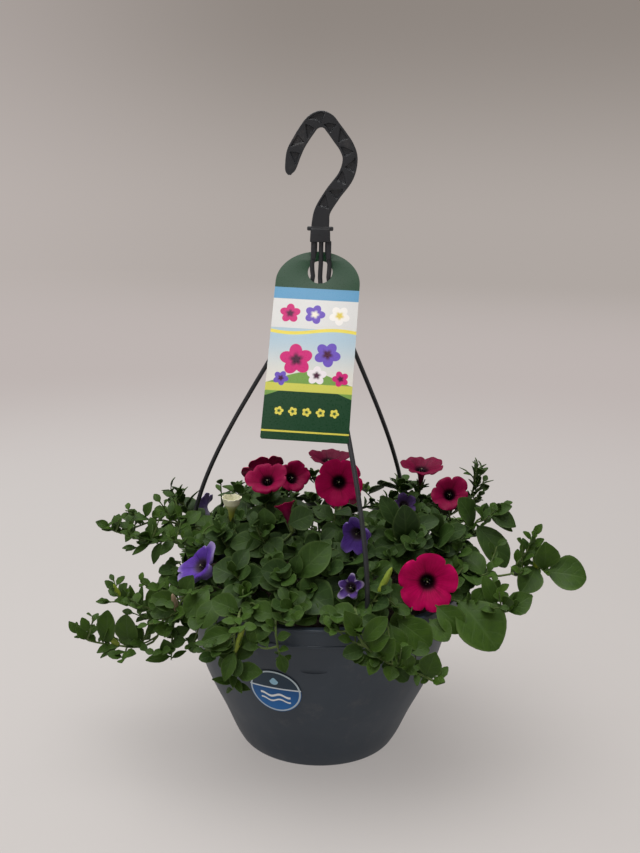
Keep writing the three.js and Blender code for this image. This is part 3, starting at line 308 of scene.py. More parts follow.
# name: kind, spray, place along its stem, middle of the mouth, heading, lift, radius, funnel, lobes, roll
BLOOMS = {
    "magenta_front": ("magenta", "right_low", 0.34, (91.9, -98, 188.5), -92, 12, 27, 28, 0.17, 18),
    "magenta_centre": ("magenta", "mid", 0.97, (15, -27, 257), -90, 14, 23, 27, 0.14, 54),
    "magenta_left": ("magenta", "mid_left", 0.97, (-52, -12, 257), -100, 50, 20, 24, 0.16, 0),
    "magenta_left_back": ("magenta", "mid_left", 0.78, (-27, 20, 250), -60, 35, 18, 24, 0.16, 30),
    "magenta_closing": ("magenta", "upper_left", 0.76, (-34, -42, 240), 130, 62, 10, 22, 0.2, 10),
    "magenta_behind": ("magenta", "back_inner", 0.97, (6, 58, 262), -80, 78, 21, 24, 0.18, 12),
    "magenta_top_right": ("magenta", "mid_right", 0.97, (97, 38, 260), -85, 78, 22, 24, 0.17, 40),
    "magenta_right": ("magenta", "right_mid", 0.6, (122, 14, 238), -95, 35, 19, 24, 0.17, 25),
    "violet_left": ("violet", "centre_left", 0.5, (-109.5, -74, 194), -140, 38, 23, 22, 0.3, 5),
    "violet_centre": ("violet", "mid_front", 0.9, (28, -76, 222), -120, -8, 19, 20, 0.3, 20),
    "violet_star": ("violet", "front_bud", 0.6, (24, -120, 192), -110, 30, 13, 16, 0.45, 0),
    "violet_deep": ("violet", "centre_right", 0.6, (78, -8, 232), -80, 30, 12, 18, 0.3, 15),
    "white_funnel": ("white", "white_bloom", 0.75, (-82, -36, 244), -80, 84, 9, 25, 0.12, 0),
    "magenta_back_left": ("magenta", "back_left_inner", 0.97, (-62, 104, 236), 110, 42, 24, 26, 0.16, 8),
    "magenta_back": ("magenta", "back", 0.5, (22, 146, 196), 80, 25, 23, 26, 0.16, 32),
    "violet_back": ("violet", "back_left", 0.45, (-126, 82, 200), 150, 35, 19, 20, 0.3, 12),
}


def ring_turn(radius, turn, z):
    return Vector((radius * math.sin(math.radians(turn)), -radius * math.cos(math.radians(turn)), z))


def heading(turn, lift):
    flat = math.cos(math.radians(lift))
    turn = math.radians(turn)
    return Vector((flat * math.cos(turn), flat * math.sin(turn), math.sin(math.radians(lift))))


def smooth_step(low, high, value):
    part = min(1, max(0, (value - low) / (high - low)))
    return part * part * (3 - 2 * part)


def line_point(points, at):
    """A point of the smooth line through points, 0 to 1 along it."""
    span = at * (len(points) - 1)
    i = min(int(span), len(points) - 2)
    part = span - i
    here, there = points[i], points[i + 1]
    before = points[i - 1] if i else 2 * here - there
    after = points[i + 2] if i + 2 < len(points) else 2 * there - here
    leave, arrive = (there - before) / 2, (after - here) / 2
    square = (3 * (there - here) - 2 * leave - arrive) * part**2
    return here + leave * part + square + (2 * (here - there) + leave + arrive) * part**3


ARC_PARTS = 200


def arc_lengths(points):
    fine = [line_point(points, i / ARC_PARTS) for i in range(ARC_PARTS + 1)]
    lengths = [0.0]
    for here, there in zip(fine, fine[1:]):
        lengths.append(lengths[-1] + (there - here).length)
    return lengths


def spaced_points(points, steps):
    """Points of the smooth line at equal steps of its length."""
    lengths = arc_lengths(points)
    made = []
    i = 0
    for step in range(steps + 1):
        wanted = lengths[-1] * (step / steps)
        while i < ARC_PARTS - 1 and lengths[i + 1] < wanted:
            i += 1
        part = (wanted - lengths[i]) / (lengths[i + 1] - lengths[i])
        made.append(line_point(points, (i + part) / ARC_PARTS))
    return made


def frames_along(points):
    """A frame at each point of a line, with Z along the line and no needless twist."""
    frames = []
    side = None
    for i, point in enumerate(points):
        along = (points[min(i + 1, len(points) - 1)] - points[max(i - 1, 0)]).normalized()
        side = side or along.orthogonal()
        side = (side - along * side.dot(along)).normalized()
        turn = Matrix((side, along.cross(side), along)).transposed().to_4x4()
        turn.translation = point
        frames.append(turn)
    return frames


def aimed(at, along, face=None):
    """The matrix that sets a shape made along +Y, with its face to +Z, at a place and along a direction."""
    face = face or Vector((along.z, along.x, along.y))
    side = along.cross(face).normalized()
    turn = Matrix((side, along, side.cross(along))).transposed().to_4x4()
    turn.translation = at
    return turn


def faces_of(verts):
    return list(dict.fromkeys(face for vert in verts for face in vert.link_faces))


def edges_of(verts):
    return list(dict.fromkeys(edge for vert in verts for edge in vert.link_edges))


def kind_of(made, kind):
    return [item for item in made if isinstance(item, kind)]


def paint(faces, material):
    for face in faces:
        face.material_index = material


def turned(degrees, axis="Z"):
    return Matrix.Rotation(math.radians(degrees), 4, axis)


def spin_line(bm, verts, axis, steps):
    """Joins points into a line and spins it once round an axis."""
    edges = [bm.edges.new(pair) for pair in zip(verts, verts[1:])]
    bmesh.ops.spin(
        bm, geom=verts + edges, axis=axis, cent=(0, 0, 0), dvec=(0, 0, 0), angle=2 * math.pi,
        steps=steps, use_merge=True, use_duplicate=False,
    )


def add_tube(bm, points, radii, sides, material=0):
    """A closed tube along points, extruded ring by ring."""
    frames = [turn @ Matrix.Scale(radius, 4) for turn, radius in zip(frames_along(points), radii)]
    first = bmesh.ops.create_circle(bm, segments=sides, radius=1, cap_ends=True)["verts"]
    faces = faces_of(first)
    edges = edges_of(first)
    bmesh.ops.transform(bm, matrix=frames[0], verts=first)
    for before, after in zip(frames, frames[1:]):
        made = bmesh.ops.extrude_edge_only(bm, edges=edges)["geom"]
        edges = kind_of(made, bmesh.types.BMEdge)
        faces += kind_of(made, bmesh.types.BMFace)
        ring = kind_of(made, bmesh.types.BMVert)
        bmesh.ops.transform(bm, matrix=after @ before.inverted(), verts=ring)
    faces += bmesh.ops.contextual_create(bm, geom=edges)["faces"]
    bmesh.ops.recalc_face_normals(bm, faces=faces)
    paint(faces, material)


WELD = 1e-4


def add_turned(bm, profile, steps, matrix=Matrix(), material=0, axis=(0, 0, 1)):
    """A profile of (radius, height) points spun round its axis; heights run along the axis."""
    up = Vector(axis)
    out = Vector((1, 0, 0))
    verts = [bm.verts.new(out * radius + up * height) for radius, height in profile]
    old = set(bm.verts) - set(verts)
    spin_line(bm, verts, up, steps)
    bmesh.ops.remove_doubles(bm, verts=[vert for vert in bm.verts if vert not in old], dist=WELD)
    made = [vert for vert in bm.verts if vert not in old]
    faces = faces_of(made)
    bmesh.ops.recalc_face_normals(bm, faces=faces)
    bmesh.ops.transform(bm, matrix=matrix, verts=made)
    paint(faces, material)
    return made


def add_block(bm, size, matrix, bevel, taper=1.0):
    """A box with rounded edges, its foot narrowed by taper."""
    verts = bmesh.ops.create_cube(bm, size=1)["verts"]
    for vert in verts:
        if vert.co.z < 0:
            vert.co.x *= taper
            vert.co.y *= taper
    bmesh.ops.scale(bm, vec=size, verts=verts)
    made = bmesh.ops.bevel(
        bm, geom=edges_of(verts), offset=bevel, affect="EDGES", segments=3, profile=0.5, material=-1
    )
    corners = list(dict.fromkeys(vert for face in made["faces"] for vert in face.verts))
    bmesh.ops.transform(bm, matrix=matrix, verts=corners)


def soften(bm, degrees):
    """Smooth shading, with edges sharper than this left crisp."""
    limit = math.radians(degrees)
    for face in bm.faces:
        face.smooth = True
    for edge in bm.edges:
        edge.smooth = edge.calc_face_angle(0) < limit


def add_object(name, data):
    made = bpy.data.objects.new(name, data)
    bpy.context.scene.collection.objects.link(made)
    return made


def mesh_object(name, bm):
    mesh = bpy.data.meshes.new(name)
    bm.to_mesh(mesh)
    bm.free()
    return add_object(name, mesh)


def place_piece(name, bm, finishes, replaced, sharp=40):
    """Makes a shape in millimetres a piece in metres that rides on the basket."""
    bmesh.ops.scale(bm, vec=(MM, MM, MM), verts=bm.verts)
    soften(bm, sharp)
    piece = mesh_object(name, bm)
    for finish in finishes:
        piece.data.materials.append(finish)
    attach(piece, "root")
    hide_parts(replaced)
    return piece


class Value:
    """What a socket puts out, so that sums of them read as plain arithmetic."""

    def __init__(self, sheet, socket):
        self.sheet, self.socket = sheet, socket

    def __add__(self, other):
        return self.sheet.maths("ADD", self, other)

    def __sub__(self, other):
        return self.sheet.maths("SUBTRACT", self, other)

    def __mul__(self, other):
        return self.sheet.maths("MULTIPLY", self, other)

    def __truediv__(self, other):
        return self.sheet.maths("DIVIDE", self, other)

    def __abs__(self):
        return self.sheet.maths("ABSOLUTE", self)

    def step(self, low, high, out_low=0.0, out_high=1.0):
        """Runs smoothly from one value to another between two limits."""
        inputs = {0: self, 1: low, 2: high, 3: out_low, 4: out_high}
        return self.sheet.out("MapRange", inputs, interpolation_type="SMOOTHSTEP")

    def fall(self, low, high):
        return self.step(low, high, 1.0, 0.0)


class Sheet:
    """Short ways to lay nodes in one tree."""

    def __init__(self, tree):
        self.tree = tree

    def add(self, kind, inputs=None, **settings):
        node = self.tree.nodes.new("ShaderNode" + kind)
        for key, value in settings.items():
            setattr(node, key, value)
        for key, value in (inputs or {}).items():
            self.set(node.inputs[key], value)
        return node

    def set(self, socket, value):
        if isinstance(value, Value):
            self.tree.links.new(value.socket, socket)
        else:
            socket.default_value = value

    def values(self, sockets):
        return {socket.name: Value(self, socket) for socket in sockets}

    def out(self, kind, inputs=None, key=0, **settings):
        """Lays a node and gives one of its outputs."""
        return Value(self, self.add(kind, inputs, **settings).outputs[key])

    def maths(self, operation, *values, clamp=False):
        return self.out("Math", dict(enumerate(values)), operation=operation, use_clamp=clamp)

    def vectors(self, operation, *values, key=0):
        return self.out("VectorMath", dict(enumerate(values)), key, operation=operation)

    def blend(self, factor, first, second):
        return self.out("Mix", {0: factor, 6: first, 7: second}, 2, data_type="RGBA")

    def noise(self, vector, scale, detail=3.0, roughness=0.5):
        inputs = {"Vector": vector, "Scale": scale, "Detail": detail, "Roughness": roughness}
        return self.out("TexNoise", inputs, "Fac")

    def streaks(self, vector, scales, roughness=0.5):
        """Noise drawn out along the axes with the smaller scales."""
        return self.noise(self.out("Mapping", {"Vector": vector, "Scale": scales}), 1.0, 3.0, roughness)

    def place(self, kind="Object"):
        return self.out("TexCoord", key=kind)

    def level(self, name, key="Fac"):
        return self.out("Attribute", key=key, attribute_name=name)

    def parts(self, vector):
        return [Value(self, socket) for socket in self.add("SeparateXYZ", {0: vector}).outputs]

    def use(self, group, **inputs):
        return self.values(self.add("Group", inputs, node_tree=group).outputs)


def rgb(red, green, blue):
    """A colour as seen on screen, 0 to 255, in the linear values that shaders take."""
    def linear(value):
        value /= 255
        return value / 12.92 if value <= 0.04045 else ((value + 0.055) / 1.055) ** 2.4
    return (linear(red), linear(green), linear(blue), 1.0)


def make_group(name, inputs, outputs, build):
    """A shared effect: inputs are {name: usual value, None for a vector}, outputs {name: socket kind}."""
    tree = bpy.data.node_groups.new(name, "ShaderNodeTree")
    for label, usual in inputs.items():
        kind = "Vector" if usual is None else "Color" if isinstance(usual, tuple) else "Float"
        socket = tree.interface.new_socket(label, in_out="INPUT", socket_type="NodeSocket" + kind)
        if usual is not None:
            socket.default_value = usual
    for label, kind in outputs.items():
        tree.interface.new_socket(label, in_out="OUTPUT", socket_type="NodeSocket" + kind)
    sheet = Sheet(tree)
    given = sheet.values(tree.nodes.new("NodeGroupInput").outputs)
    end = tree.nodes.new("NodeGroupOutput")
    for label, value in build(sheet, given).items():
        sheet.set(end.inputs[label], value)
    return tree


def make_finish(name, build, shine=0.5, sheen=0.0):
    """A material whose nodes build gives as colour, roughness, height, and the bump's strength and depth."""
    finish = bpy.data.materials.new(name)
    finish.use_nodes = True
    finish.node_tree.nodes.clear()
    sheet = Sheet(finish.node_tree)
    shader = sheet.add("BsdfPrincipled", {"Specular IOR Level": shine, "Sheen Weight": sheen})
    shade, rough, height, strength, depth = build(sheet)
    bump = sheet.out("Bump", {"Height": height, "Strength": strength, "Distance": depth})
    for key, value in (("Base Color", shade), ("Roughness", rough), ("Normal", bump)):
        sheet.set(shader.inputs[key], value)
    sheet.add("OutputMaterial", {0: Value(sheet, shader.outputs[0])})
    return finish


def moulded(sheet, given):
    """Moulded plastic: cloudy shade, fine grain, faint flow lines and a little dust."""
    place = given["Place"]
    grain = sheet.noise(place, 1400.0, 2.0, 0.6)
    streak = sheet.streaks(place, (90.0, 90.0, 6.0), 0.6)
    dust = sheet.noise(place, 60.0, 6.0, 0.7).step(0.52, 0.8) * given["Dust"]
    shade = sheet.blend(sheet.noise(place, 9.0, 4.0, 0.6).step(0.3, 0.7), given["Colour"], given["Worn"])
    shade = sheet.blend(streak * 0.25, shade, given["Worn"])
    shade = sheet.blend(dust, shade, given["Dust Colour"])
    rough = sheet.maths("ADD", given["Roughness"] + streak * 0.12, dust * 0.5, clamp=True)
    return {"Colour": shade, "Roughness": rough, "Height": grain + streak * 0.6}


MOULDED = make_group(
    "moulded_plastic",
    {
        "Place": None, "Colour": (0.03, 0.04, 0.05, 1), "Worn": (0.06, 0.07, 0.08, 1),
        "Dust Colour": (0.3, 0.27, 0.24, 1), "Dust": 0.1, "Roughness": 0.45,
    },
    {"Colour": "Color", "Roughness": "Float", "Height": "Float"},
    moulded,
)


def plastic(name, base, worn, dust, roughness, strength):
    def build(sheet):
        made = sheet.use(
            MOULDED, Place=sheet.place(), Colour=base, Worn=worn, Dust=dust, Roughness=roughness
        )
        return *made.values(), strength, 0.0002
    return make_finish(name, build)


def veined(sheet, given):
    """A leaf's veins and margin from its own map: across 0 to 1, and along 0 to 1."""
    across, along, _ = sheet.parts(given["Map"])
    off = abs(across * 2.0 - 1.0)
    wander = sheet.noise(given["Place"], 260.0, 2.0) * 0.06
    turn = (along - off * 0.22 + wander) * given["Veins"]
    side = abs(sheet.maths("FRACT", turn) - 0.5).fall(0.0, 0.13) * off.step(0.75, 1.0, 0.6, 0.0)
    return {"Veins": sheet.maths("MAXIMUM", off.fall(0.0, 0.1), side), "Margin": off.step(0.8, 1.0)}


VEINED = make_group(
    "leaf_veins", {"Map": None, "Place": None, "Veins": 7.0}, {"Veins": "Float", "Margin": "Float"}, veined
)


def mottled(sheet, given):
    """Living tissue: soft blotches and a fine cell grain over two tones."""
    blotch = sheet.noise(given["Place"], 140.0, 4.0, 0.6).step(0.3, 0.7)
    cells = sheet.out("TexVoronoi", {"Vector": given["Place"], "Scale": 1100.0}, "Distance")
    shade = sheet.blend(blotch * given["Amount"], given["First"], given["Second"])
    shade = sheet.blend(cells * 0.18, shade, given["Second"])
    return {"Colour": shade, "Height": cells * 0.6 + blotch}


MOTTLED = make_group(
    "living_tissue",
    {"Place": None, "First": (0.05, 0.1, 0.02, 1), "Second": (0.1, 0.15, 0.04, 1), "Amount": 0.5},
    {"Colour": "Color", "Height": "Float"},
    mottled,
)


def tissue_of(sheet, first, second, amount, smooth, rough):
    """Living tissue's colour, roughness and height."""
    made = sheet.use(MOTTLED, Place=sheet.place(), First=first, Second=second, Amount=amount)
    return made["Colour"], made["Height"].step(0.0, 1.5, smooth, rough), made["Height"]


def leaf_look(sheet):
    tone = sheet.level("tone")
    deep = sheet.blend(tone, rgb(27, 48, 17), rgb(47, 75, 12))
    light = sheet.blend(tone, rgb(42, 66, 25), rgb(67, 97, 20))
    shade, rough, height = tissue_of(sheet, deep, light, 0.55, 0.5, 0.68)
    lines = sheet.use(VEINED, Map=sheet.place("UV"), Place=sheet.place(), Veins=7.0)
    shade = sheet.blend(lines["Veins"] * 0.26, shade, rgb(78, 102, 54))
    shade = sheet.blend(lines["Margin"] * 0.3, shade, rgb(92, 114, 62))
    return shade, rough, height * 0.3 - lines["Veins"], 0.5, 0.0003


def stem_look(sheet):
    return *tissue_of(sheet, rgb(66, 88, 38), rgb(96, 112, 56), 0.7, 0.5, 0.7), 0.4, 0.0002


def bud_look(sheet):
    """Fresh green, or brown where the tone says that a bud is spent."""
    tone = sheet.level("tone")
    first = sheet.blend(tone, rgb(104, 128, 20), rgb(132, 108, 84))
    second = sheet.blend(tone, rgb(138, 158, 34), rgb(176, 160, 142))
    return *tissue_of(sheet, first, second, 0.8, 0.5, 0.7), 0.4, 0.0002


def stamen_look(sheet):
    """A pale green stigma and dark anthers, told apart by their tone."""
    tone = sheet.level("tone")
    first = sheet.blend(tone, rgb(132, 140, 96), rgb(40, 34, 44))
    second = sheet.blend(tone, rgb(168, 172, 136), rgb(66, 60, 70))
    return *tissue_of(sheet, first, second, 0.7, 0.5, 0.75), 0.3, 0.0001


def petal_lines(sheet, given):
    """A bloom's pattern from its spokes: lobe ribs with fine veins, and where on the limb."""
    east, north, out = sheet.parts(given["Spoke"])
    angle = sheet.maths("ARCTAN2", north, east)
    rib = abs(sheet.maths("COSINE", angle * 2.5)).step(0.955, 1.0)
    wander = sheet.noise(given["Place"], 300.0, 3.0) * 2.4
    fine = sheet.maths("SINE", angle * 35.0 + wander).step(0.45, 1.0)
    veins = sheet.maths("MAXIMUM", rib, fine * 0.55)
    return {"Veins": veins * out.step(0.25, 0.95, 1.0, 0.12), "Out": out}


PETAL = make_group(
    "petal_lines", {"Spoke": None, "Place": None}, {"Veins": "Float", "Out": "Float"}, petal_lines
)


def petal_look(limb, blotch, vein, throat, edge, edge_amount):
    def build(sheet):
        lines = sheet.use(PETAL, Spoke=sheet.level("spoke", "Vector"), Place=sheet.place())
        shade, rough, height = tissue_of(sheet, limb, blotch, 0.6, 0.45, 0.62)
        shade = sheet.blend(lines["Veins"] * 0.55, shade, vein)
        rim = lines["Out"].step(0.66, 1.0) * (sheet.level("tone") * edge_amount)
        shade = sheet.blend(rim, shade, edge)
        # Painted shade: the deep level darkens the limb towards the throat colour.
        shade = sheet.blend(sheet.level("deep"), shade, sheet.blend(0.8, shade, throat))
        shade = sheet.blend(lines["Out"].fall(0.18, 0.4), shade, throat)
        return shade, rough, height * 0.3 - lines["Veins"], 0.45, 0.0003
    return build


def outside_look(first, second, tube):
    """The back of a bloom, with long veins, and its tube."""
    def build(sheet):
        lines = sheet.use(PETAL, Spoke=sheet.level("spoke", "Vector"), Place=sheet.place())
        shade, rough, height = tissue_of(sheet, first, second, 0.6, 0.5, 0.65)
        shade = sheet.blend(lines["Veins"] * 0.35, shade, second)
        return sheet.blend(lines["Out"].step(0.08, 0.4), tube, shade), rough, height, 0.3, 0.0003
    return build


def soil_look(sheet):
    lumps = sheet.noise(sheet.place(), 240.0, 6.0, 0.7)
    fibre = sheet.streaks(sheet.place(), (300.0, 900.0, 500.0))
    shade = sheet.blend(lumps.step(0.3, 0.7), rgb(30, 22, 17), rgb(66, 50, 38))
    shade = sheet.blend(fibre.step(0.66, 0.8), shade, rgb(112, 88, 64))
    return shade, lumps.step(0.2, 0.8, 0.8, 0.98), lumps + fibre * 0.5, 0.9, 0.001


def flower_print(sheet, given):
    """One printed five-petalled flower: its mask and how far out in it a point lies."""
    x, y, _ = sheet.parts(sheet.vectors("SUBTRACT", given["Map"], given["Middle"]))
    angle = sheet.maths("ARCTAN2", y, x) + given["Turn"]
    reach = (abs(sheet.maths("COSINE", angle * 2.5)) * 0.34 + 0.66) * given["Size"]
    part = sheet.maths("SQRT", x * x + y * y) / reach
    return {"Mask": part.fall(0.96, 1.0), "Out": part}


FLOWER = make_group(
    "printed_flower",
    {"Map": None, "Middle": None, "Size": 10.0, "Turn": 0.0},
    {"Mask": "Float", "Out": "Float"},
    flower_print,
)


def own_map(sheet, scale, across, up):
    """A printed piece's own map, in its own measure from its own middle."""
    spot = sheet.vectors("MULTIPLY", sheet.place("UV"), (scale, scale, 0.0))
    return sheet.vectors("SUBTRACT", spot, (across, up, 0.0))


PINK, LILAC, INK = rgb(206, 36, 120), rgb(110, 84, 190), rgb(72, 20, 54)
# Flowers on the card: middle, size, turn, petals, heart.
PRINTED_FLOWERS = [
    (-22, -22.5, 9.5, -6.6, PINK, rgb(80, 10, 60)), (0, -22.5, 9.5, 0, LILAC, rgb(240, 236, 220)),
    (22, -22.5, 9.5, 6.6, rgb(244, 242, 238), rgb(226, 206, 92)), (-13, -66, 15, -13, PINK, INK),
    (14, -60, 12, 14, LILAC, INK), (6, -80, 9, 6, rgb(238, 232, 236), INK),
    (-25, -84, 7, -25, LILAC, INK), (27, -82, 7.5, 27, PINK, INK),
    *((x, -114, 4.2, x, rgb(226, 214, 92), rgb(36, 84, 50)) for x in (-24, -12, 0, 12, 24)),
]
BAND_BLUR = 0.15


def tag_look(sheet):
    """The card's print on its own map in millimetres: bands, a hill, and a row of simple flowers."""
    spot = own_map(sheet, TAG_MAP_WIDE, *TAG_MAP)
    across, up, _ = sheet.parts(spot)
    paper = sheet.noise(sheet.place(), 900.0, 3.0)
    shade = sheet.blend(paper * 0.3, rgb(20, 62, 36), rgb(32, 76, 46))
    sky = sheet.blend(up.step(-88.0, -40.0), rgb(226, 223, 214), rgb(176, 202, 218))
    waved = up - sheet.maths("SINE", across * 0.075) * 2.2
    hilly = up - sheet.maths("COSINE", across * 0.06) * 7.0
    for height, low, high, tint in (
        (up, -8.4, 2.6, rgb(98, 158, 198)), (up, -36.6, -8.4, rgb(222, 223, 222)), (up, -88.2, -36.6, sky),
        (waved, -40.6, -37.4, rgb(238, 222, 96)), (hilly, -96.0, -84.0, rgb(120, 160, 78)),
        (up, -95.7, -88.2, rgb(206, 206, 92)), (up, -133.0, -131.4, rgb(214, 204, 84)),
    ):
        above = height.step(low - BAND_BLUR, low + BAND_BLUR)
        shade = sheet.blend(above * height.fall(high - BAND_BLUR, high + BAND_BLUR), shade, tint)
    for x, y, size, turn, petal, heart in PRINTED_FLOWERS:
        made = sheet.use(FLOWER, Map=spot, Middle=(x, y, 0.0), Size=size, Turn=turn)
        tint = sheet.blend(made["Out"].step(0.18, 0.55), heart, petal)
        shade = sheet.blend(made["Mask"], shade, tint)
    return shade, paper.step(0.3, 0.7, 0.26, 0.36), paper, 0.06, 0.0002


def sticker_look(sheet):
    """The film's print on its own map, 1 at its edge: a white ring, a drop over two waves."""
    spot = own_map(sheet, 2.0, 1.0, 1.0)
    across, up, _ = sheet.parts(spot)
    far = sheet.vectors("LENGTH", spot, key="Value")
    film = sheet.noise(sheet.place(), 500.0, 3.0)
    slate = sheet.blend(film * 0.4, rgb(28, 50, 68), rgb(38, 62, 80))
    blue = sheet.blend(up.step(-0.9, 0.2), rgb(20, 104, 176), rgb(16, 84, 146))
    shade = sheet.blend(up.step(0.19, 0.22), blue, slate)
    shade = sheet.blend(up.step(0.13, 0.15) * up.fall(0.19, 0.21), shade, rgb(214, 226, 232))
    swell = sheet.maths("SINE", across * 9.0) * 0.06
    for low, thick in ((-0.18, 0.06), (-0.42, 0.045)):
        wave = abs(up - swell - low).fall(thick * 0.7, thick) * abs(across).fall(0.56, 0.6)
        shade = sheet.blend(wave, shade, rgb(236, 240, 242))
    rise = up - 0.5
    side = across * (sheet.maths("MAXIMUM", rise, 0.0) * 6.0 + 1.0)
    drop = sheet.maths("SQRT", side * side + rise * rise)
    shade = sheet.blend(drop.fall(0.15, 0.17), shade, rgb(150, 196, 220))
    shade = sheet.blend(far.step(0.905, 0.92) * far.fall(0.965, 0.985), shade, rgb(186, 202, 210))
    return shade, film.step(0.3, 0.7, 0.28, 0.4), film, 0.08, 0.0002


POT_PLASTIC = plastic("pot_plastic", rgb(39, 50, 62), rgb(48, 60, 72), 0.12, 0.44, 0.1)
INSERT_PLASTIC = plastic("insert_plastic", rgb(40, 44, 48), rgb(54, 58, 62), 0.1, 0.5, 0.2)
HANGER_PLASTIC = plastic("hanger_plastic", rgb(30, 32, 36), rgb(42, 45, 50), 0.12, 0.42, 0.15)
TAG_CARD = make_finish("tag_print", tag_look, 0.3)
STICKER_FILM = make_finish("sticker_print", sticker_look, 0.3)
SOIL = make_finish("compost", soil_look)
LEAF = make_finish("leaf_green", leaf_look, 0.22)
STALK = make_finish("stem_green", stem_look, 0.25, sheen=0.1)
BUD = make_finish("bud_skin", bud_look, 0.3)
STAMEN = make_finish("stamen", stamen_look)
PETALS, BACKS = {}, {}
# Each kind's limb, blotches, veins, throat and pale edge, how much of that edge, and its shine; then
# the back's two tones, its tube and its shine.
for kind, front, edge_amount, shine, back, back_shine in (
    (
        "magenta", ((190, 0, 88), (164, 0, 70), (112, 0, 48), (26, 2, 16), (196, 4, 96)), 0.3, 0.1,
        ((158, 2, 76), (126, 2, 60), (84, 6, 44)), 0.15,
    ),
    (
        "violet", ((92, 58, 158), (70, 38, 134), (38, 14, 88), (60, 48, 58), (206, 198, 222)), 0.85, 0.15,
        ((96, 72, 152), (140, 124, 180), (104, 100, 118)), 0.15,
    ),
    (
        "white", ((236, 234, 216), (220, 220, 196), (196, 200, 160), (198, 200, 120), (244, 242, 232)), 0.3,
        0.2, ((224, 224, 204), (200, 204, 160), (134, 142, 52)), 0.2,
    ),
):
    look = petal_look(*(rgb(*tone) for tone in front), edge_amount)
    PETALS[kind] = make_finish(f"petal_{kind}", look, shine)
    look = outside_look(*(rgb(*tone) for tone in back))
    BACKS[kind] = make_finish(f"petal_back_{kind}", look, back_shine)

WALL_POINTS = [Vector((radius, 0, z)) for z, radius in WALL_LINE]
WALL_FINE = [line_point(WALL_POINTS, i / 80) for i in range(81)]


def wall_radius(z):
    """The outer radius of the pot's smooth wall at a height."""
    for low, high in zip(WALL_FINE, WALL_FINE[1:]):
        if z <= high.z:
            return low.x + (high.x - low.x) * (z - low.z) / (high.z - low.z)
    return NECK_RADIUS


def settled_mesh(item):
    """An object's mesh with its modifiers or bevels worked in."""
    bpy.context.view_layer.update()
    return bpy.data.meshes.new_from_object(item.evaluated_get(bpy.context.evaluated_depsgraph_get()))


def cut_away(piece, tools):
    """Cuts the tools' shapes out of a piece and drops the tools."""
    for tool in tools:
        cut = piece.modifiers.new("cut", "BOOLEAN")
        cut.operation = "DIFFERENCE"
        cut.solver = "EXACT"
        cut.object = tool
    shaped = settled_mesh(piece)
    piece.modifiers.clear()
    old = piece.data
    piece.data = shaped
    bpy.data.meshes.remove(old)
    for tool in tools:
        bpy.data.objects.remove(tool)


def cutter(bm):
    bmesh.ops.scale(bm, vec=(MM, MM, MM), verts=bm.verts)
    return mesh_object("cutter", bm)


DRAIN_Z, DRAIN_RADIUS = 54, 4
DIMPLE_Z, DIMPLE_RADIUS = 116, 12.5


def make_pot():
    wall = [line_point(WALL_POINTS, i / 44) for i in range(45)]
    outer = [(point.x, point.z) for point in wall if point.z > 1.2]
    inner = [(point.x - WALL, point.z) for point in reversed(wall) if point.z > FLOOR + 2]
    foot, neck, rim, top, ledge = FOOT_RADIUS, NECK_RADIUS, RIM_RADIUS, POT_HEIGHT, NECK_Z
    brim = neck - WALL
    profile = [
        (0, 0.7), (64, 0.7), (66, 0.1), (67, 0), (foot - 0.9, 0), (foot - 0.2, 0.4), *outer,
        (neck, top - 2.6), (neck + 0.6, top - 2), (rim - 2.6, top - 2), (rim - 2, top - 2.6),
        (rim - 2, ledge + 0.3), (rim - 1.7, ledge), (rim - 0.4, ledge), (rim, ledge + 0.4),
        (rim, ledge + 1.6), (rim - 0.5, ledge + 2.1), (rim - 0.5, top - 2.6), (rim - 0.1, top - 2.2),
        (rim, top - 1.6), (rim - 0.1, top - 0.6), (rim - 0.7, top), (brim + 0.7, top),
        (brim + 0.1, top - 0.4), (brim, top - 1.2), *inner, (foot - 1.4, FLOOR + 0.6), (foot - 3, FLOOR),
        (0, FLOOR),
    ]
    bm = bmesh.new()
    add_turned(bm, profile, 144)
    pot = place_piece("pot_shell", bm, [POT_PLASTIC], "pot", sharp=30)
    tools = []
    for turn in ARM_TURNS:
        bm = bmesh.new()
        add_block(bm, (9.2, 3, 6), turned(turn) @ Matrix.Translation((0, -SLOT_RADIUS, top - 1)), 0.5)
        tools.append(cutter(bm))
    bm = bmesh.new()
    drain = Matrix.Translation((0, wall_radius(DRAIN_Z) - 1, DRAIN_Z)) @ turned(90, "X")
    bmesh.ops.create_cone(
        bm, cap_ends=True, segments=40, radius1=DRAIN_RADIUS, radius2=DRAIN_RADIUS, depth=12, matrix=drain
    )
    tools.append(cutter(bm))
    bm = bmesh.new()
    lens = bmesh.ops.create_uvsphere(bm, u_segments=48, v_segments=24, radius=DIMPLE_RADIUS)["verts"]
    bmesh.ops.scale(bm, vec=(1, 0.12, 0.2), verts=lens)
    bmesh.ops.translate(bm, vec=(0, 0.1 - wall_radius(DIMPLE_Z), DIMPLE_Z), verts=lens)
    bmesh.ops.transform(bm, matrix=turned(-2), verts=lens)
    tools.append(cutter(bm))
    cut_away(pot, tools)


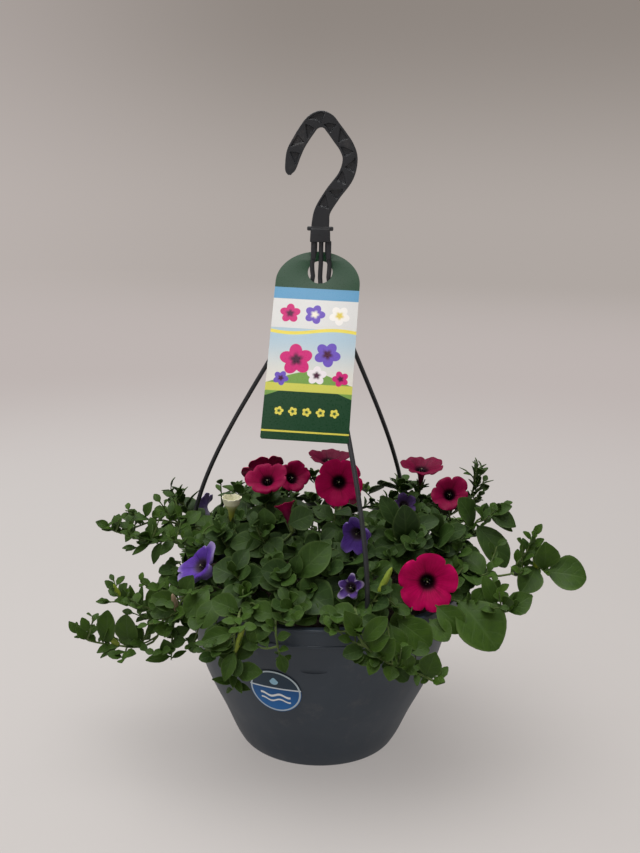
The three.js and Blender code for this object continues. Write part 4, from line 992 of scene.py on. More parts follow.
HOOK_LINE = [
    (-34.7, 529.3, 2.6), (-34.6, 532.5, 7.6), (-33.4, 537.5, 10.6), (-30.9, 548, 13.1),
    (-26.9, 556.6, 12.9), (-20, 567.6, 13.2), (-14.6, 574.3, 13.2), (-8, 577.2, 13.9),
    (-1.6, 575.3, 13.2), (3.4, 569.7, 13), (8.8, 562.8, 13.2), (15.4, 553.6, 13.1),
    (18.5, 543.2, 13.2), (15, 529, 14.1), (4, 513.8, 14.3), (-4.6, 499.5, 14.2), (-6.4, 489, 15.6),
    (-6.6, 481, 16),
]
HOOK_MIDDLE = [Vector((x, 0, z)) for x, z, _ in HOOK_LINE]
HOOK_WIDTHS = [Vector((width, 0, 0)) for _, _, width in HOOK_LINE]
HOOK_ARCS = arc_lengths(HOOK_MIDDLE)
HOOK_CELLS = 11
HOOK_RANGE = (0.05, 0.885)
HOOK_CELL_LONG = (HOOK_RANGE[1] - HOOK_RANGE[0]) * HOOK_ARCS[-1] / HOOK_CELLS
HOOK_BORDER = 1.5
HOOK_RIB = 0.3


def pocket_depth(at, across, half):
    """How deep a hook face lies along it, 0 to 1, and across it, -1 to 1: a zigzag of three-sided pockets."""
    step = min(int(at * ARC_PARTS), ARC_PARTS - 1)
    gone = HOOK_ARCS[step] + (HOOK_ARCS[step + 1] - HOOK_ARCS[step]) * (at * ARC_PARTS - step)
    span = (gone / HOOK_ARCS[-1] - HOOK_RANGE[0]) / (HOOK_RANGE[1] - HOOK_RANGE[0]) * HOOK_CELLS
    if not 0 <= span < HOOK_CELLS:
        return 0
    flip = 1 if int(span) % 2 else -1
    x = (span - int(span)) * HOOK_CELL_LONG
    deep = 2 * half - HOOK_BORDER
    below = deep - (1 + flip * across) * half
    clear = deep - HOOK_BORDER
    apex = 0.82 * HOOK_CELL_LONG
    inside = min(
        (clear * (off - HOOK_RIB) - run * below) / math.hypot(run, clear)
        for off, run in ((x, apex), (HOOK_CELL_LONG - x, HOOK_CELL_LONG - apex))
    )
    return HOOK_POCKET * smooth_step(0, 1, min(inside, below))


def way_at(line, at, reach):
    """The way a line runs at a place, 0 to 1 along it."""
    return (line_point(line, min(1, at + reach)) - line_point(line, max(0, at - reach))).normalized()


def add_hook(bm):
    """The flat crook: two gridded faces laid along its middle line and bridged at their rims."""
    rims = []
    for face in (-1, 1):
        verts = bmesh.ops.create_grid(bm, x_segments=30, y_segments=320, size=1)["verts"]
        faces = faces_of(verts)
        rims += [edge for edge in edges_of(verts) if edge.is_boundary]
        for vert in verts:
            across, at = vert.co.x, (vert.co.y + 1) / 2
            middle = line_point(HOOK_MIDDLE, at)
            along = way_at(HOOK_MIDDLE, at, 0.002)
            side = Vector((-along.z, 0, along.x))
            half = line_point(HOOK_WIDTHS, at).x / 2
            edge = 0.5 * smooth_step(0.93, 1, abs(across))
            deep = pocket_depth(at, across, half) + edge
            vert.co = middle + side * across * half + Vector((0, face * (HOOK_THICK / 2 - deep), 0))
        if face > 0:
            bmesh.ops.reverse_faces(bm, faces=faces)
    bmesh.ops.bridge_loops(bm, edges=rims)


def bow(part):
    """How far an arm has come out from the hub, 0 at its start to 1 at the rim."""
    first, second, third = ARM_BOW
    rest = part * (1 - part)
    return part + first * rest + second * rest * (1 - 2 * part) + third * part * rest


# How far the two back arms stand out beyond their roots where the tag hangs.
ARM_SPLAY = 2.4


def arm_route(k):
    x = HUB_X + (0, 1, -1)[k] * ARM_SPACING
    end = ring_turn(SLOT_RADIUS, ARM_TURNS[k], 0)
    route = [Vector((x, 0, HUB_Z + 10)), Vector((x, 0, HUB_Z - 2))]
    x += (0, 1, -1)[k] * ARM_SPLAY
    route.append(Vector((x, 0, ARM_START_Z + 16)))
    for i in range(9):
        part = i / 8
        z = ARM_START_Z + (POT_HEIGHT + 9 - ARM_START_Z) * part
        route.append(Vector((x + (end.x - x) * bow(part), end.y * bow(part), z)))
    return route


ARM_ROUTES = [spaced_points(arm_route(k), 60) for k in range(3)]


HUB_SIZE = (17.3, 7.9, 12)
HUB_TAPER = 1.056
COLLAR_SIZE, COLLAR_Z = (23.4, 6.4, 3.8), 483.4
WING_SIZE, WING_OUT = (4.6, 5.6, 17), 6.8
TONGUE_SIZE = (8, 1.8, 20)
TOE_SIZE = (12, 1.8, 5)


def make_hanger():
    bm = bmesh.new()
    add_hook(bm)
    hub = Matrix.Translation((HUB_X - 1, 0, HUB_Z + 13))
    add_block(bm, HUB_SIZE, hub, 0.9, HUB_TAPER)
    add_block(bm, COLLAR_SIZE, Matrix.Translation((HUB_X - 1.1, 0, COLLAR_Z)), 1.1)
    for out in (-WING_OUT, WING_OUT):
        add_block(bm, WING_SIZE, Matrix.Translation((HUB_X + out, 0, HUB_Z)), 1.2)
    for points, turn in zip(ARM_ROUTES, ARM_TURNS):
        add_tube(bm, points, [ARM_RADIUS] * len(points), 14)
        spin = turned(turn)
        tongue = Matrix.Translation((0, -SLOT_RADIUS, POT_HEIGHT + 1))
        toe = Matrix.Translation((0, -SLOT_RADIUS, POT_HEIGHT - 2 - FIT - TOE_SIZE[2] / 2))
        add_block(bm, TONGUE_SIZE, spin @ tongue, 0.5)
        add_block(bm, TOE_SIZE, spin @ toe, 0.5)
    place_piece("hanger_moulding", bm, [HANGER_PLASTIC], "hanger", sharp=45)


TAG_PLACE = Matrix.Translation((-8.5, -9, 428)) @ turned(-2.9) @ turned(90 - TAG_LEAN, "X") @ turned(-1.9)
TAG_CORNER = 1.2
TAG_SHOULDER = 8
# The hole's middle and its half width and height.
TAG_HOLE = (1.5, 19.2, 11.2, 11.4)
ROUND_STEPS = 48


def tag_outline():
    half, low = TAG_WIDTH / 2, TAG_CORNER - TAG_DROP
    points = [
        (TAG_CORNER - half, -TAG_DROP), (half - TAG_CORNER, -TAG_DROP), (half, low), (half, TAG_SHOULDER),
    ]
    for i in range(1, ROUND_STEPS):
        turn = math.pi * i / ROUND_STEPS
        rise = (TAG_ARCH - TAG_SHOULDER) * math.sin(turn)
        points.append((half * math.cos(turn), TAG_SHOULDER + rise))
    return points + [(-half, TAG_SHOULDER), (-half, low)]


def tag_hole():
    x, y, wide, high = TAG_HOLE
    turns = [2 * math.pi * i / ROUND_STEPS for i in range(ROUND_STEPS)]
    return [(x + wide * math.cos(turn), y + high * math.sin(turn)) for turn in turns]


def make_tag():
    card = bpy.data.curves.new("card", "CURVE")
    card.dimensions = "2D"
    card.fill_mode = "BOTH"
    card.bevel_depth = 0.08
    card.extrude = TAG_THICK / 2 - card.bevel_depth
    for points in (tag_outline(), tag_hole()):
        spline = card.splines.new("POLY")
        spline.points.add(len(points) - 1)
        for point, (x, y) in zip(spline.points, points):
            point.co = (x, y, 0, 1)
        spline.use_cyclic_u = True
    holder = add_object("card", card)
    flat = settled_mesh(holder)
    bpy.data.objects.remove(holder)
    bm = bmesh.new()
    bm.from_mesh(flat)
    bpy.data.meshes.remove(flat)
    bmesh.ops.remove_doubles(bm, verts=bm.verts, dist=WELD)
    spread = bm.loops.layers.uv.verify()
    for face in bm.faces:
        face.material_index = 0
        for loop in face.loops:
            spot = zip(loop.vert.co.xy, TAG_MAP)
            loop[spread].uv = [(value + middle) / TAG_MAP_WIDE for value, middle in spot]
    bmesh.ops.translate(bm, vec=(0, 0, TAG_THICK / 2), verts=bm.verts)
    bmesh.ops.transform(bm, matrix=TAG_PLACE, verts=bm.verts)
    place_piece("tag_card", bm, [TAG_CARD], "tag")


STICKER_SIZE = 23
STICKER_TURN = -19
STICKER_Z = 91
STICKER_THICK = 0.35


def on_wall(across, up, out):
    """A point of the pot's wall, from lengths measured on the sticker."""
    z = STICKER_Z + 0.955 * up
    return ring_turn(wall_radius(z) + out, STICKER_TURN + math.degrees(across / 112), z)


def make_sticker():
    bm = bmesh.new()
    spread = bm.loops.layers.uv.new("UVMap")
    radii = [i * STICKER_SIZE / 14 for i in range(14)] + [STICKER_SIZE - 0.25, STICKER_SIZE]
    verts = [bm.verts.new((radius, 0, 0)) for radius in radii]
    spin_line(bm, verts, (0, 0, 1), 72)
    bmesh.ops.remove_doubles(bm, verts=bm.verts, dist=WELD)
    bmesh.ops.recalc_face_normals(bm, faces=bm.faces)
    for face in bm.faces:
        for loop in face.loops:
            spot = loop.vert.co / (2 * STICKER_SIZE)
            loop[spread].uv = (spot.x + 0.5, spot.y + 0.5)
    bmesh.ops.solidify(bm, geom=bm.faces[:], thickness=STICKER_THICK)
    top = max(vert.co.z for vert in bm.verts)
    for vert in bm.verts:
        curl = 0.12 * smooth_step(0.9, 1, vert.co.xy.length / STICKER_SIZE)
        out = (0.95 if vert.co.z > top - 0.1 else 0.6) - curl
        vert.co = on_wall(vert.co.x, vert.co.y, out)
    bmesh.ops.recalc_face_normals(bm, faces=bm.faces)
    place_piece("sticker_label", bm, [STICKER_FILM], "sticker")


def soil_top(x, y):
    lumps = 1.1 * math.sin(0.11 * x + 0.6) * math.cos(0.13 * y) + 0.8 * math.sin(0.19 * y + 0.07 * x)
    return POT_HEIGHT - SOIL_DROP + 3.5 * math.exp(-((x * x + y * y) / 4900)) + lumps


SOIL_CRUMBS = 520
CUP_OUT = 55
CUP_TURNS = (60, 180, 300)


def make_soil():
    """Compost: a lumpy top, the body down to the false floor, and a plug in each cup."""
    under = INSERT_TOP + FIT
    brim = POT_HEIGHT - SOIL_DROP - 3

    def side(z):
        return (wall_radius(z) - WALL) * 0.995 - FIT

    rings = [(side(brim) * i / 22, brim + 3) for i in range(21, 0, -1)]
    profile = [(0, under), (side(under) - 0.4, under)]
    profile += [(side(z), z) for z in (72, 86, 100, 114, 128, brim)] + rings + [(0, brim + 3)]
    bm = bmesh.new()
    for vert in add_turned(bm, profile, 96):
        if vert.co.z > brim + 1:
            rough = noise.fractal(vert.co * 0.16, 0.8, 2.1, 4) * 1.6
            vert.co.z = soil_top(vert.co.x, vert.co.y) + rough
    foot = FLOOR + FIT + 1.8 + FIT
    for turn in CUP_TURNS:
        bmesh.ops.create_cone(
            bm, cap_ends=True, segments=32, radius1=9.6, radius2=14.2, depth=under + 2 - foot,
            matrix=Matrix.Translation(ring_turn(CUP_OUT, turn, (under + 2 + foot) / 2)),
        )
    draw = random.Random(11)
    for _ in range(SOIL_CRUMBS):
        far, turn = 122 * math.sqrt(draw.random()), draw.uniform(0, 2 * math.pi)
        x, y = far * math.cos(turn), far * math.sin(turn)
        size = draw.uniform(0.8, 2.6)
        lump = bmesh.ops.create_icosphere(bm, subdivisions=1, radius=size)["verts"]
        for vert in lump:
            vert.co *= 1 + 0.5 * noise.noise(vert.co * 0.9 + Vector((x, y, 0)))
        spin = Matrix.Rotation(draw.uniform(0, 6.3), 4, "Z")
        spin = spin @ Matrix.Diagonal((1, draw.uniform(0.5, 1), 0.6, 1))
        at = Matrix.Translation((x, y, soil_top(x, y) + 0.2 * size))
        bmesh.ops.transform(bm, matrix=at @ spin, verts=lump)
    place_piece("soil_compost", bm, [SOIL], "soil", sharp=60)


NEAR = 0.15


def corners_of(node):
    """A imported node's corners in millimetres, for finding where its parts came to lie."""
    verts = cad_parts[node].data.vertices
    tree = KDTree(len(verts))
    for i, vert in enumerate(verts):
        tree.insert(vert.co / MM, i)
    tree.balance()
    return tree


def hits(tree, centres, radius):
    return sum(
        1 for centre in centres for _, _, far in tree.find_range(centre, radius + NEAR)
        if far > radius - NEAR
    )


def best_of(tries, score):
    scores = [score(k) for k in range(tries)]
    return scores.index(max(scores))


def bent(points, start, k):
    """The k-th try at a line: its points from start on moved a little further."""
    off = 1.6 * k
    turn = math.radians(GOLDEN * k)
    shift = Vector((off * math.cos(turn), off * math.sin(turn), 0.5 * off))
    return [point if i < start else point + shift for i, point in enumerate(points)]


def stem_points(spray, k):
    x, y = spray["hole"]
    soil = soil_top(x, y)
    route = [Vector(point) for point in spray["route"]]
    return [Vector((x, y, soil - ROOT_DEPTH)), Vector((x, y, soil + 5)), *bent(route, 0, k)]


def stem_steps(points):
    return max(4, math.floor(arc_lengths(points)[-1] / 20 + 0.5))


def root_on(axis, wanted):
    spots = []
    for here, there in zip(axis, axis[1:]):
        _, part = geometry.intersect_point_line(wanted, here, there)
        spots.append(here.lerp(there, min(1, max(0, part))))
    return min(spots, key=lambda spot: (spot - wanted).length)


def facing(at, along):
    """The way a leaf's upper face looks: up, and out of the basket or to its front."""
    front = at.y < 30
    look = Vector((0, -0.5 if front else 0, 0.85))
    look += Vector((at.x, at.y, 0)).normalized() * (0.25 if front else 0.5)
    return (look - along * look.dot(along)).normalized()


LEAF_TRIES = 13
LINE_TRIES = 16


def leaf_try(row, k):
    _, length, _, turn, lift = row
    swing = math.ceil(k / 2) * (13 if k % 2 else -13)
    return heading(turn + swing, lift + 7 * (k % 3)), length * (1 - 0.03 * k), 1 - 0.03 * k


def find_leaf(tree, root, row):
    """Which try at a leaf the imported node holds, told by its tip."""
    for k in range(LEAF_TRIES):
        along, length, _ = leaf_try(row, k)
        face = facing(root, along) * BLADE / 2
        tip = root + along * length
        if all(tree.find(tip + end)[2] < NEAR for end in (face, -face)):
            return k
    return None


def find_bud(tree, root, row):
    _, length, _, turn, lift = row
    for k in range(LEAF_TRIES):
        if tree.find(root + heading(turn + 20 * k, lift) * length)[2] < NEAR:
            return k
    return None


def fill_rows(spray, index):
    """A hidden spray's leaf rows, in a spiral from its fill row."""
    if "fill" not in spray:
        return []
    count, start, end, first, last = spray["fill"]
    rows = []
    for i in range(count):
        part = i / (count - 1)
        length = first + (last - first) * part
        lift = 18 + 22 * math.sin(1.7 * i + index)
        rows.append((start + (end - start) * part, length, 0.64 * length, GOLDEN * i + 50 * index, lift))
    return rows


def oval_rows(count, lean, plump):
    """A short stalk, then an oval blade: a low lean sets it low, a high plump makes it pointed."""
    rows = [(0, 0.05), (0.07, 0.08)]
    for i in range(1, count):
        part = (1 - math.cos(math.pi * i / count)) / 2
        rows.append((0.07 + 0.93 * part, math.sin(math.pi * part**lean) ** plump))
    return (*rows, (1, 0.08))


# Rows of a leaf as (place along it, width there), as parts of its length and full width.
LEAF_ROWS = oval_rows(8, 0.92, 0.82)
BROAD_ROWS = oval_rows(14, 1.12, 0.62)
BROAD_LENGTH = 29
ROSETTE_ROWS = ((0, 0.06), (0.1, 0.12), (0.26, 0.76), (0.5, 1), (0.74, 0.92), (0.92, 0.56), (1, 0.1))
SPRIG_ROWS = ((0, 0.07), (0.14, 0.14), (0.36, 0.82), (0.62, 1), (0.86, 0.6), (1, 0.06))
LEAF_THICK, PETAL_THICK, SEPAL_THICK = 0.55, 0.4, 0.45


def tone_near(tone, draw, less, more):
    """A tone drawn round another one, kept from 0 to 1."""
    return min(1, max(0, tone + draw.uniform(less, more)))


def add_leaf(bm, root, along, face, length, width, tone, draw, rows=LEAF_ROWS, cells=4):
    """One leaf: a grid drawn to the outline, folded at its midrib, arched, and waved at its edge."""
    level = bm.verts.layers.float["tone"]
    verts = bmesh.ops.create_grid(
        bm, x_segments=cells, y_segments=len(rows) - 1, size=1, calc_uvs=True
    )["verts"]
    fold = draw.uniform(0.1, 0.34)
    wave = draw.uniform(0.3, 1.0) * 0.05 * width
    phase = draw.uniform(0, 6.3)
    twist = draw.uniform(-0.3, 0.3)
    droop = draw.uniform(-0.02, 0.06) * length
    for vert in verts:
        across = vert.co.x
        at, wide = rows[round((vert.co.y + 1) / 2 * (len(rows) - 1))]
        half = max(0.55, wide * width / 2)
        x = across * half
        z = 0.09 * length * math.sin(math.pi * at) + fold * abs(across) ** 1.4 * half
        z += wave * across * across * math.sin(9 * at + phase + 2 * across) * math.sin(math.pi * at)
        z += twist * x * at * (1 - at) * 2 - droop * at * at * (1 - at) * 3
        vert.co = Vector((x, at * length, z))
        vert[level] = tone
    bmesh.ops.transform(bm, matrix=aimed(root, along, face), verts=verts)


# Which finish of its piece a face takes.
STALK_INDEX, BUD_INDEX = 1, 2
BACK_INDEX, STAMEN_INDEX = 1, 2


def add_bud(bm, at, along, length, radius, tone):
    level = bm.verts.layers.float["tone"]
    profile = [
        (0, 0), (0.55 * radius, 0.4), (0.85 * radius, 0.12 * length), (radius, 0.34 * length),
        (0.96 * radius, 0.55 * length), (0.8 * radius, 0.78 * length), (0.5 * radius, 0.93 * length),
        (0.16 * radius, 0.99 * length), (0, length),
    ]
    made = add_turned(bm, profile, 12, axis=(0, 1, 0), material=BUD_INDEX)
    for vert in made:
        turn = math.atan2(vert.co.x, vert.co.z)
        grow = 1 + 0.1 * math.cos(5 * turn + 0.25 * vert.co.y)
        vert.co.x *= grow
        vert.co.z *= grow
        vert[level] = tone
    bmesh.ops.transform(bm, matrix=aimed(at, along), verts=made)


def add_cup(bm, foot, along, draw):
    """A bloom's green cup: a short stub and five narrow sepals."""
    profile = [(0, 0), (1.1, 0.2), (1.9, 2), (2.4, 4), (2.5, 5.2), (0, 5.5)]
    add_turned(bm, profile, 14, aimed(foot, along), STALK_INDEX, (0, 1, 0))
    for i in range(5):
        turn = 2 * math.pi * (i + 0.1 * draw.random()) / 5
        spin = Matrix.Rotation(turn, 4, "Y")
        verts = bmesh.ops.create_grid(bm, x_segments=2, y_segments=6, size=1)["verts"]
        reach = draw.uniform(9, 11)
        for vert in verts:
            across, at = vert.co.x, (vert.co.y + 1) / 2
            half = 1.25 * (0.75 + 0.5 * math.sin(math.pi * at)) * (1 - at**3) + 0.12
            out = 2.2 + 2.1 * at * at + 0.4 * abs(across)
            vert.co = Vector((across * half, 2.2 + reach * at, out))
        faces = faces_of(verts)
        bmesh.ops.transform(bm, matrix=aimed(foot, along) @ spin, verts=verts)
        made = bmesh.ops.solidify(bm, geom=faces, thickness=SEPAL_THICK)["geom"]
        paint(faces + kind_of(made, bmesh.types.BMFace), STALK_INDEX)


def add_hairs(bm, points, radius, count, draw):
    """Short sticky hairs that stand out from a stem."""
    frames = frames_along(points)
    for _ in range(count):
        turn = frames[draw.randrange(2, len(frames))]
        spin = Matrix.Rotation(draw.uniform(0, 6.3), 4, "Z") @ Matrix.Rotation(math.pi / 2, 4, "Y")
        long = draw.uniform(0.6, 1.2)
        out = Matrix.Translation((draw.uniform(-1, 1), 0, radius * 0.8 + long / 2))
        verts = bmesh.ops.create_cone(
            bm, cap_ends=True, segments=3, radius1=0.09, radius2=0.03, depth=long,
            matrix=turn @ spin @ out,
        )["verts"]
        paint(faces_of(verts), STALK_INDEX)


EYE = Vector((-3.3, -909.2, 494))
CAD_LOW, CAD_HIGH = (Vector(corner) / MM for corner in cad_box)
BLOOM_SPOTS = [(Vector(row[3]), heading(row[4], row[5]), row[6]) for row in BLOOMS.values()]
# Tubes that also stay in view.
for name, radius in (("magenta_closing", 14), ("white_funnel", 9)):
    mouth, turn, lift, _, funnel = BLOOMS[name][3:8]
    along = heading(turn, lift)
    BLOOM_SPOTS.append((Vector(mouth) - along * 0.5 * funnel, along, radius))


def hides_bloom(spot):
    """True for a spot that stands before a bloom as seen from the front."""
    for middle, _, radius in BLOOM_SPOTS:
        sight = middle - EYE
        near = (spot - EYE).dot(sight) / sight.length_squared
        if near < 1.01 and (EYE + sight * near - spot).length < 0.9 * radius:
            return True
    return False


def has_room(spot):
    """True where a small extra leaf may end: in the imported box, off the pot, the arms and the blooms."""
    if hides_bloom(spot):
        return False
    if any(not low - 4 < value < high + 4 for low, value, high in zip(CAD_LOW, spot, CAD_HIGH)):
        return False
    if spot.z < POT_HEIGHT + 3 and spot.xy.length < RIM_RADIUS + 4:
        return False
    for route in ARM_ROUTES:
        if min((spot - point).length for point in route[::2]) < 6:
            return False
    for middle, along, radius in BLOOM_SPOTS:
        off = spot - middle
        if off.dot(along) > -0.3 * radius and off.length < 1.2 * radius:
            return False
    return True


def add_sprigs(bm, line, count, draw, tone):
    """Extra small leaves between the large ones, more of them and smaller towards the tip."""
    for _ in range(count):
        for _ in range(6):
            at = 1 - 0.72 * draw.random() ** 1.3
            root = line_point(line, at)
            size = draw.uniform(9, 17) * (1.25 - 0.45 * at)
            along = heading(draw.uniform(0, 360), draw.uniform(-10, 65))
            along = (along + 0.7 * way_at(line, at, 0.02)).normalized()
            if has_room(root + along * size) and has_room(root + along * size * 0.5):
                shade = tone_near(tone, draw, -0.25, 0.35)
                wide = size * draw.uniform(0.4, 0.62)
                add_leaf(bm, root, along, facing(root, along), size, wide, shade, draw, SPRIG_ROWS, 2)
                break


STEM_LINES = {}
CANOPY_RADIUS = 133
# The dome's layers: how many rosettes, how far under it, and the first one's heading.
CANOPY_LAYERS = ((108, 0, 0), (66, 24, 60))
# Rows over the rim: how far out, how high, and the spans of headings they fill.
RIM_ROWS = (
    (136, 172, ((-170, -10),)),
    (146, 152, ((-164, -107), (-78, -22))),
    (151, 129, ((-136, -112), (-74, -50))),
)
CANOPY_REACH = 80


def canopy_spots():
    """Rosette middles: a dome of two layers over the soil, then three rows that hang over the rim."""
    draw = random.Random(7)
    spots = []
    for count, drop, start in CANOPY_LAYERS:
        for i in range(count):
            far = CANOPY_RADIUS * math.sqrt((i + 0.5) / count)
            spot = far * heading(start + GOLDEN * i, 0)
            dome = 230 - 16 * (spot.x / 130) ** 2 - 34 * ((spot.y - 45) / 150) ** 2
            spots.append(spot + Vector((0, 0, dome - drop + draw.uniform(-13, 9))))
    for far, high, spans in RIM_ROWS:
        for first, last in spans:
            turn = first
            while turn < last:
                spot = (far + draw.uniform(-2, 3)) * heading(turn, 0)
                spots.append(spot + Vector((0, 0, high + draw.uniform(-7, 7))))
                turn += draw.uniform(7, 10)
    return spots


def nearest_stem(spot):
    """The spray whose stem passes nearest to a spot: how far, its name, and the place on it."""
    best = None
    drop = 4 if spot.xy.length < RIM_RADIUS else -26
    for name, line in STEM_LINES.items():
        for i in range(2, 17):
            point = line_point(line, i / 20)
            if point.z > spot.z - drop:
                continue
            far = (point - spot).length
            if best is None or far < best[0]:
                best = (far, name, point)
    return best


def share_canopy():
    """Gives each spray the rosettes that are nearest to its stem."""
    shares = {name: [] for name in SPRAYS}
    for spot in canopy_spots():
        found = nearest_stem(spot)
        if found and found[0] < CANOPY_REACH:
            shares[found[1]].append((spot, found[2]))
    return shares


def add_rosette(bm, middle, root, draw, tone):
    """A side shoot's leafy tip: large leaves below, set round it in a spiral, and small ones at its end."""
    along = (middle - root).normalized()
    over = middle.xy.length > RIM_RADIUS
    turn = draw.uniform(0, 360)
    count = draw.randrange(6, 8)
    large = draw.uniform(22, 32) * (0.8 if over else 1)
    made = False
    for i in range(count):
        part = i / (count - 1)
        start = middle - along * (10 * (1 - part))
        lift = (draw.uniform(-45, 15) if over else draw.uniform(-12, 18)) + 50 * part
        way = (heading(turn + GOLDEN * i + draw.uniform(-20, 20), lift) + 0.25 * along).normalized()
        for size in (large * (1 - 0.68 * part**0.8) * draw.uniform(0.85, 1.1) * less for less in (1, 0.62)):
            if has_room(start + way * size) and has_room(start + way * size * 0.55):
                shade = tone_near(tone + 0.3 * part, draw, -0.22, 0.2)
                face = facing(start, way) + Vector((0, -0.3 if start.y < 30 else 0, 0))
                wide = size * draw.uniform(0.58, 0.8)
                add_leaf(bm, start, way, face, size, wide, shade, draw, ROSETTE_ROWS)
                made = True
                break
    return made


def rosette_stalk(root, middle, draw):
    """A stalk from the stem to a rosette, led over the rim where it hangs outside."""
    if middle.xy.length > RIM_RADIUS and middle.z < POT_HEIGHT + 16:
        edge = middle.normalized()
        edge = Vector((edge.x, edge.y, 0)).normalized() * (RIM_RADIUS + 3)
        return [root, edge + Vector((0, 0, POT_HEIGHT + 9)), middle]
    bend = (middle + root) / 2 + Vector((0, 0, 4)) + heading(draw.uniform(0, 360), 0) * 4
    return [root, bend, middle]


# How many leafy side shoots each trailing stem has.
SIDE_SHOOTS = {
    "left_high": 7, "left_up": 6, "left_mid": 6, "left_bud": 5, "left_low": 6, "left_down": 4,
    "upper_left": 3, "front_left": 4, "front_sprout": 2, "front_bud": 1, "front_right": 5,
    "right_low": 5, "right_far": 6, "right_mid": 7, "top_right": 8, "mid_right": 4, "centre_right": 2,
    "back": 4, "back_left": 6, "back_right": 6, "back_inner": 3, "back_left_inner": 4, "right_inner": 3,
}


def add_shoots(bm, line, count, draw, tone):
    """Leafy side shoots along a stem; returns their lines."""
    made = []
    for i in range(count):
        for _ in range(12):
            at = 0.34 + 0.6 * (i + draw.random()) / count
            root = line_point(line, at)
            reach = draw.uniform(20, 38) * (1.2 - 0.5 * at)
            way = heading(draw.uniform(0, 360), draw.uniform(-5, 55))
            way = (way + 0.6 * way_at(line, at, 0.03)).normalized()
            bend = root + way * reach * 0.5 + Vector((0, 0, -1.5))
            end = root + way * reach + Vector((0, 0, 2.5))
            if not (has_room(end) and has_room(bend) and has_room(end + way * 8)):
                continue
            route = [root, bend, end]
            made.append(route)
            nodes = max(3, round(reach / 6))
            for j in range(nodes):
                place = (j + 1.2) / (nodes + 0.2)
                start = line_point(route, min(1, place))
                size = draw.uniform(14, 20) * (1.15 - 0.55 * place)
                side = heading(GOLDEN * j + 77 * i, draw.uniform(0, 40))
                out = (side + 0.7 * way).normalized()
                if has_room(start + out * size):
                    shade = tone_near(tone, draw, -0.2, 0.25)
                    wide = size * draw.uniform(0.48, 0.68)
                    add_leaf(bm, start, out, facing(start, out), size, wide, shade, draw, SPRIG_ROWS, 2)
            break
    return made


def stalk_line(bloom, tree, axis):
    """A bloom stalk's line from the stem to the foot of its cup."""
    _, _, at, mouth, turn, lift, _, funnel, _, _ = bloom
    along = heading(turn, lift)
    foot = Vector(mouth) - along * (funnel + CUP_DEPTH + CUP_GAP)
    start = root_on(axis[0], line_point(axis[1], at))
    middle = (foot - along * (start - foot).length * 0.45).lerp(start, 0.25)

    def route(k):
        return [start, bent([middle], 0, k)[0], foot + along * (1 + 0.06 * k)]

    k = best_of(LINE_TRIES, lambda k: hits(tree, spaced_points(route(k), 3)[1:], TWIG))
    return route(k), foot, along


# How withered a bud is, 0 to 1.
SPENT = {("left_down", 0): 0.95, ("centre_left", 0): 1.0, ("left_high", 0): 0.5}
# Broad leaves that only show in front: root, tip and width.
BROAD_LEAVES = {
    "front_right": [
        ((64, -124, 166), (93, -131, 146), 27), ((58, -128, 164), (66, -142, 138), 22),
        ((80, -112, 164), (58, -126, 158), 21),
    ],
    "front_sprout": [
        ((-40, -122, 172), (-58, -140, 150), 22), ((-26, -102, 172), (-4, -129, 163), 25),
        ((-4, -104, 170), (-26, -127, 165), 21),
    ],
    "left_down": [((-96, -92, 178), (-114, -110, 158), 22), ((-88, -104, 174), (-100, -122, 153), 20)],
    "right_low": [((98, -106, 172), (121, -116, 152), 23), ((93, -108, 160), (108, -125, 148), 21)],
    "centre_right": [((96, -60, 186), (118, -74, 170), 26), ((70, -30, 204), (74, -52, 214), 24)],
    "mid_front": [((2, -92, 190), (-14, -116, 176), 26)],
}


# Blades set off from their packed place: how far the start and the tip move out, and how much wider.
SET_OFF = {("upper_left", 1): (20, 8, 1), ("right_low", 0): (-3, 2, 1.3)}


def find_stem(spray, tree):
    def score(k):
        points = stem_points(spray, k)
        return hits(tree, spaced_points(points, stem_steps(points)), STEM)
    return stem_points(spray, best_of(LINE_TRIES, score))


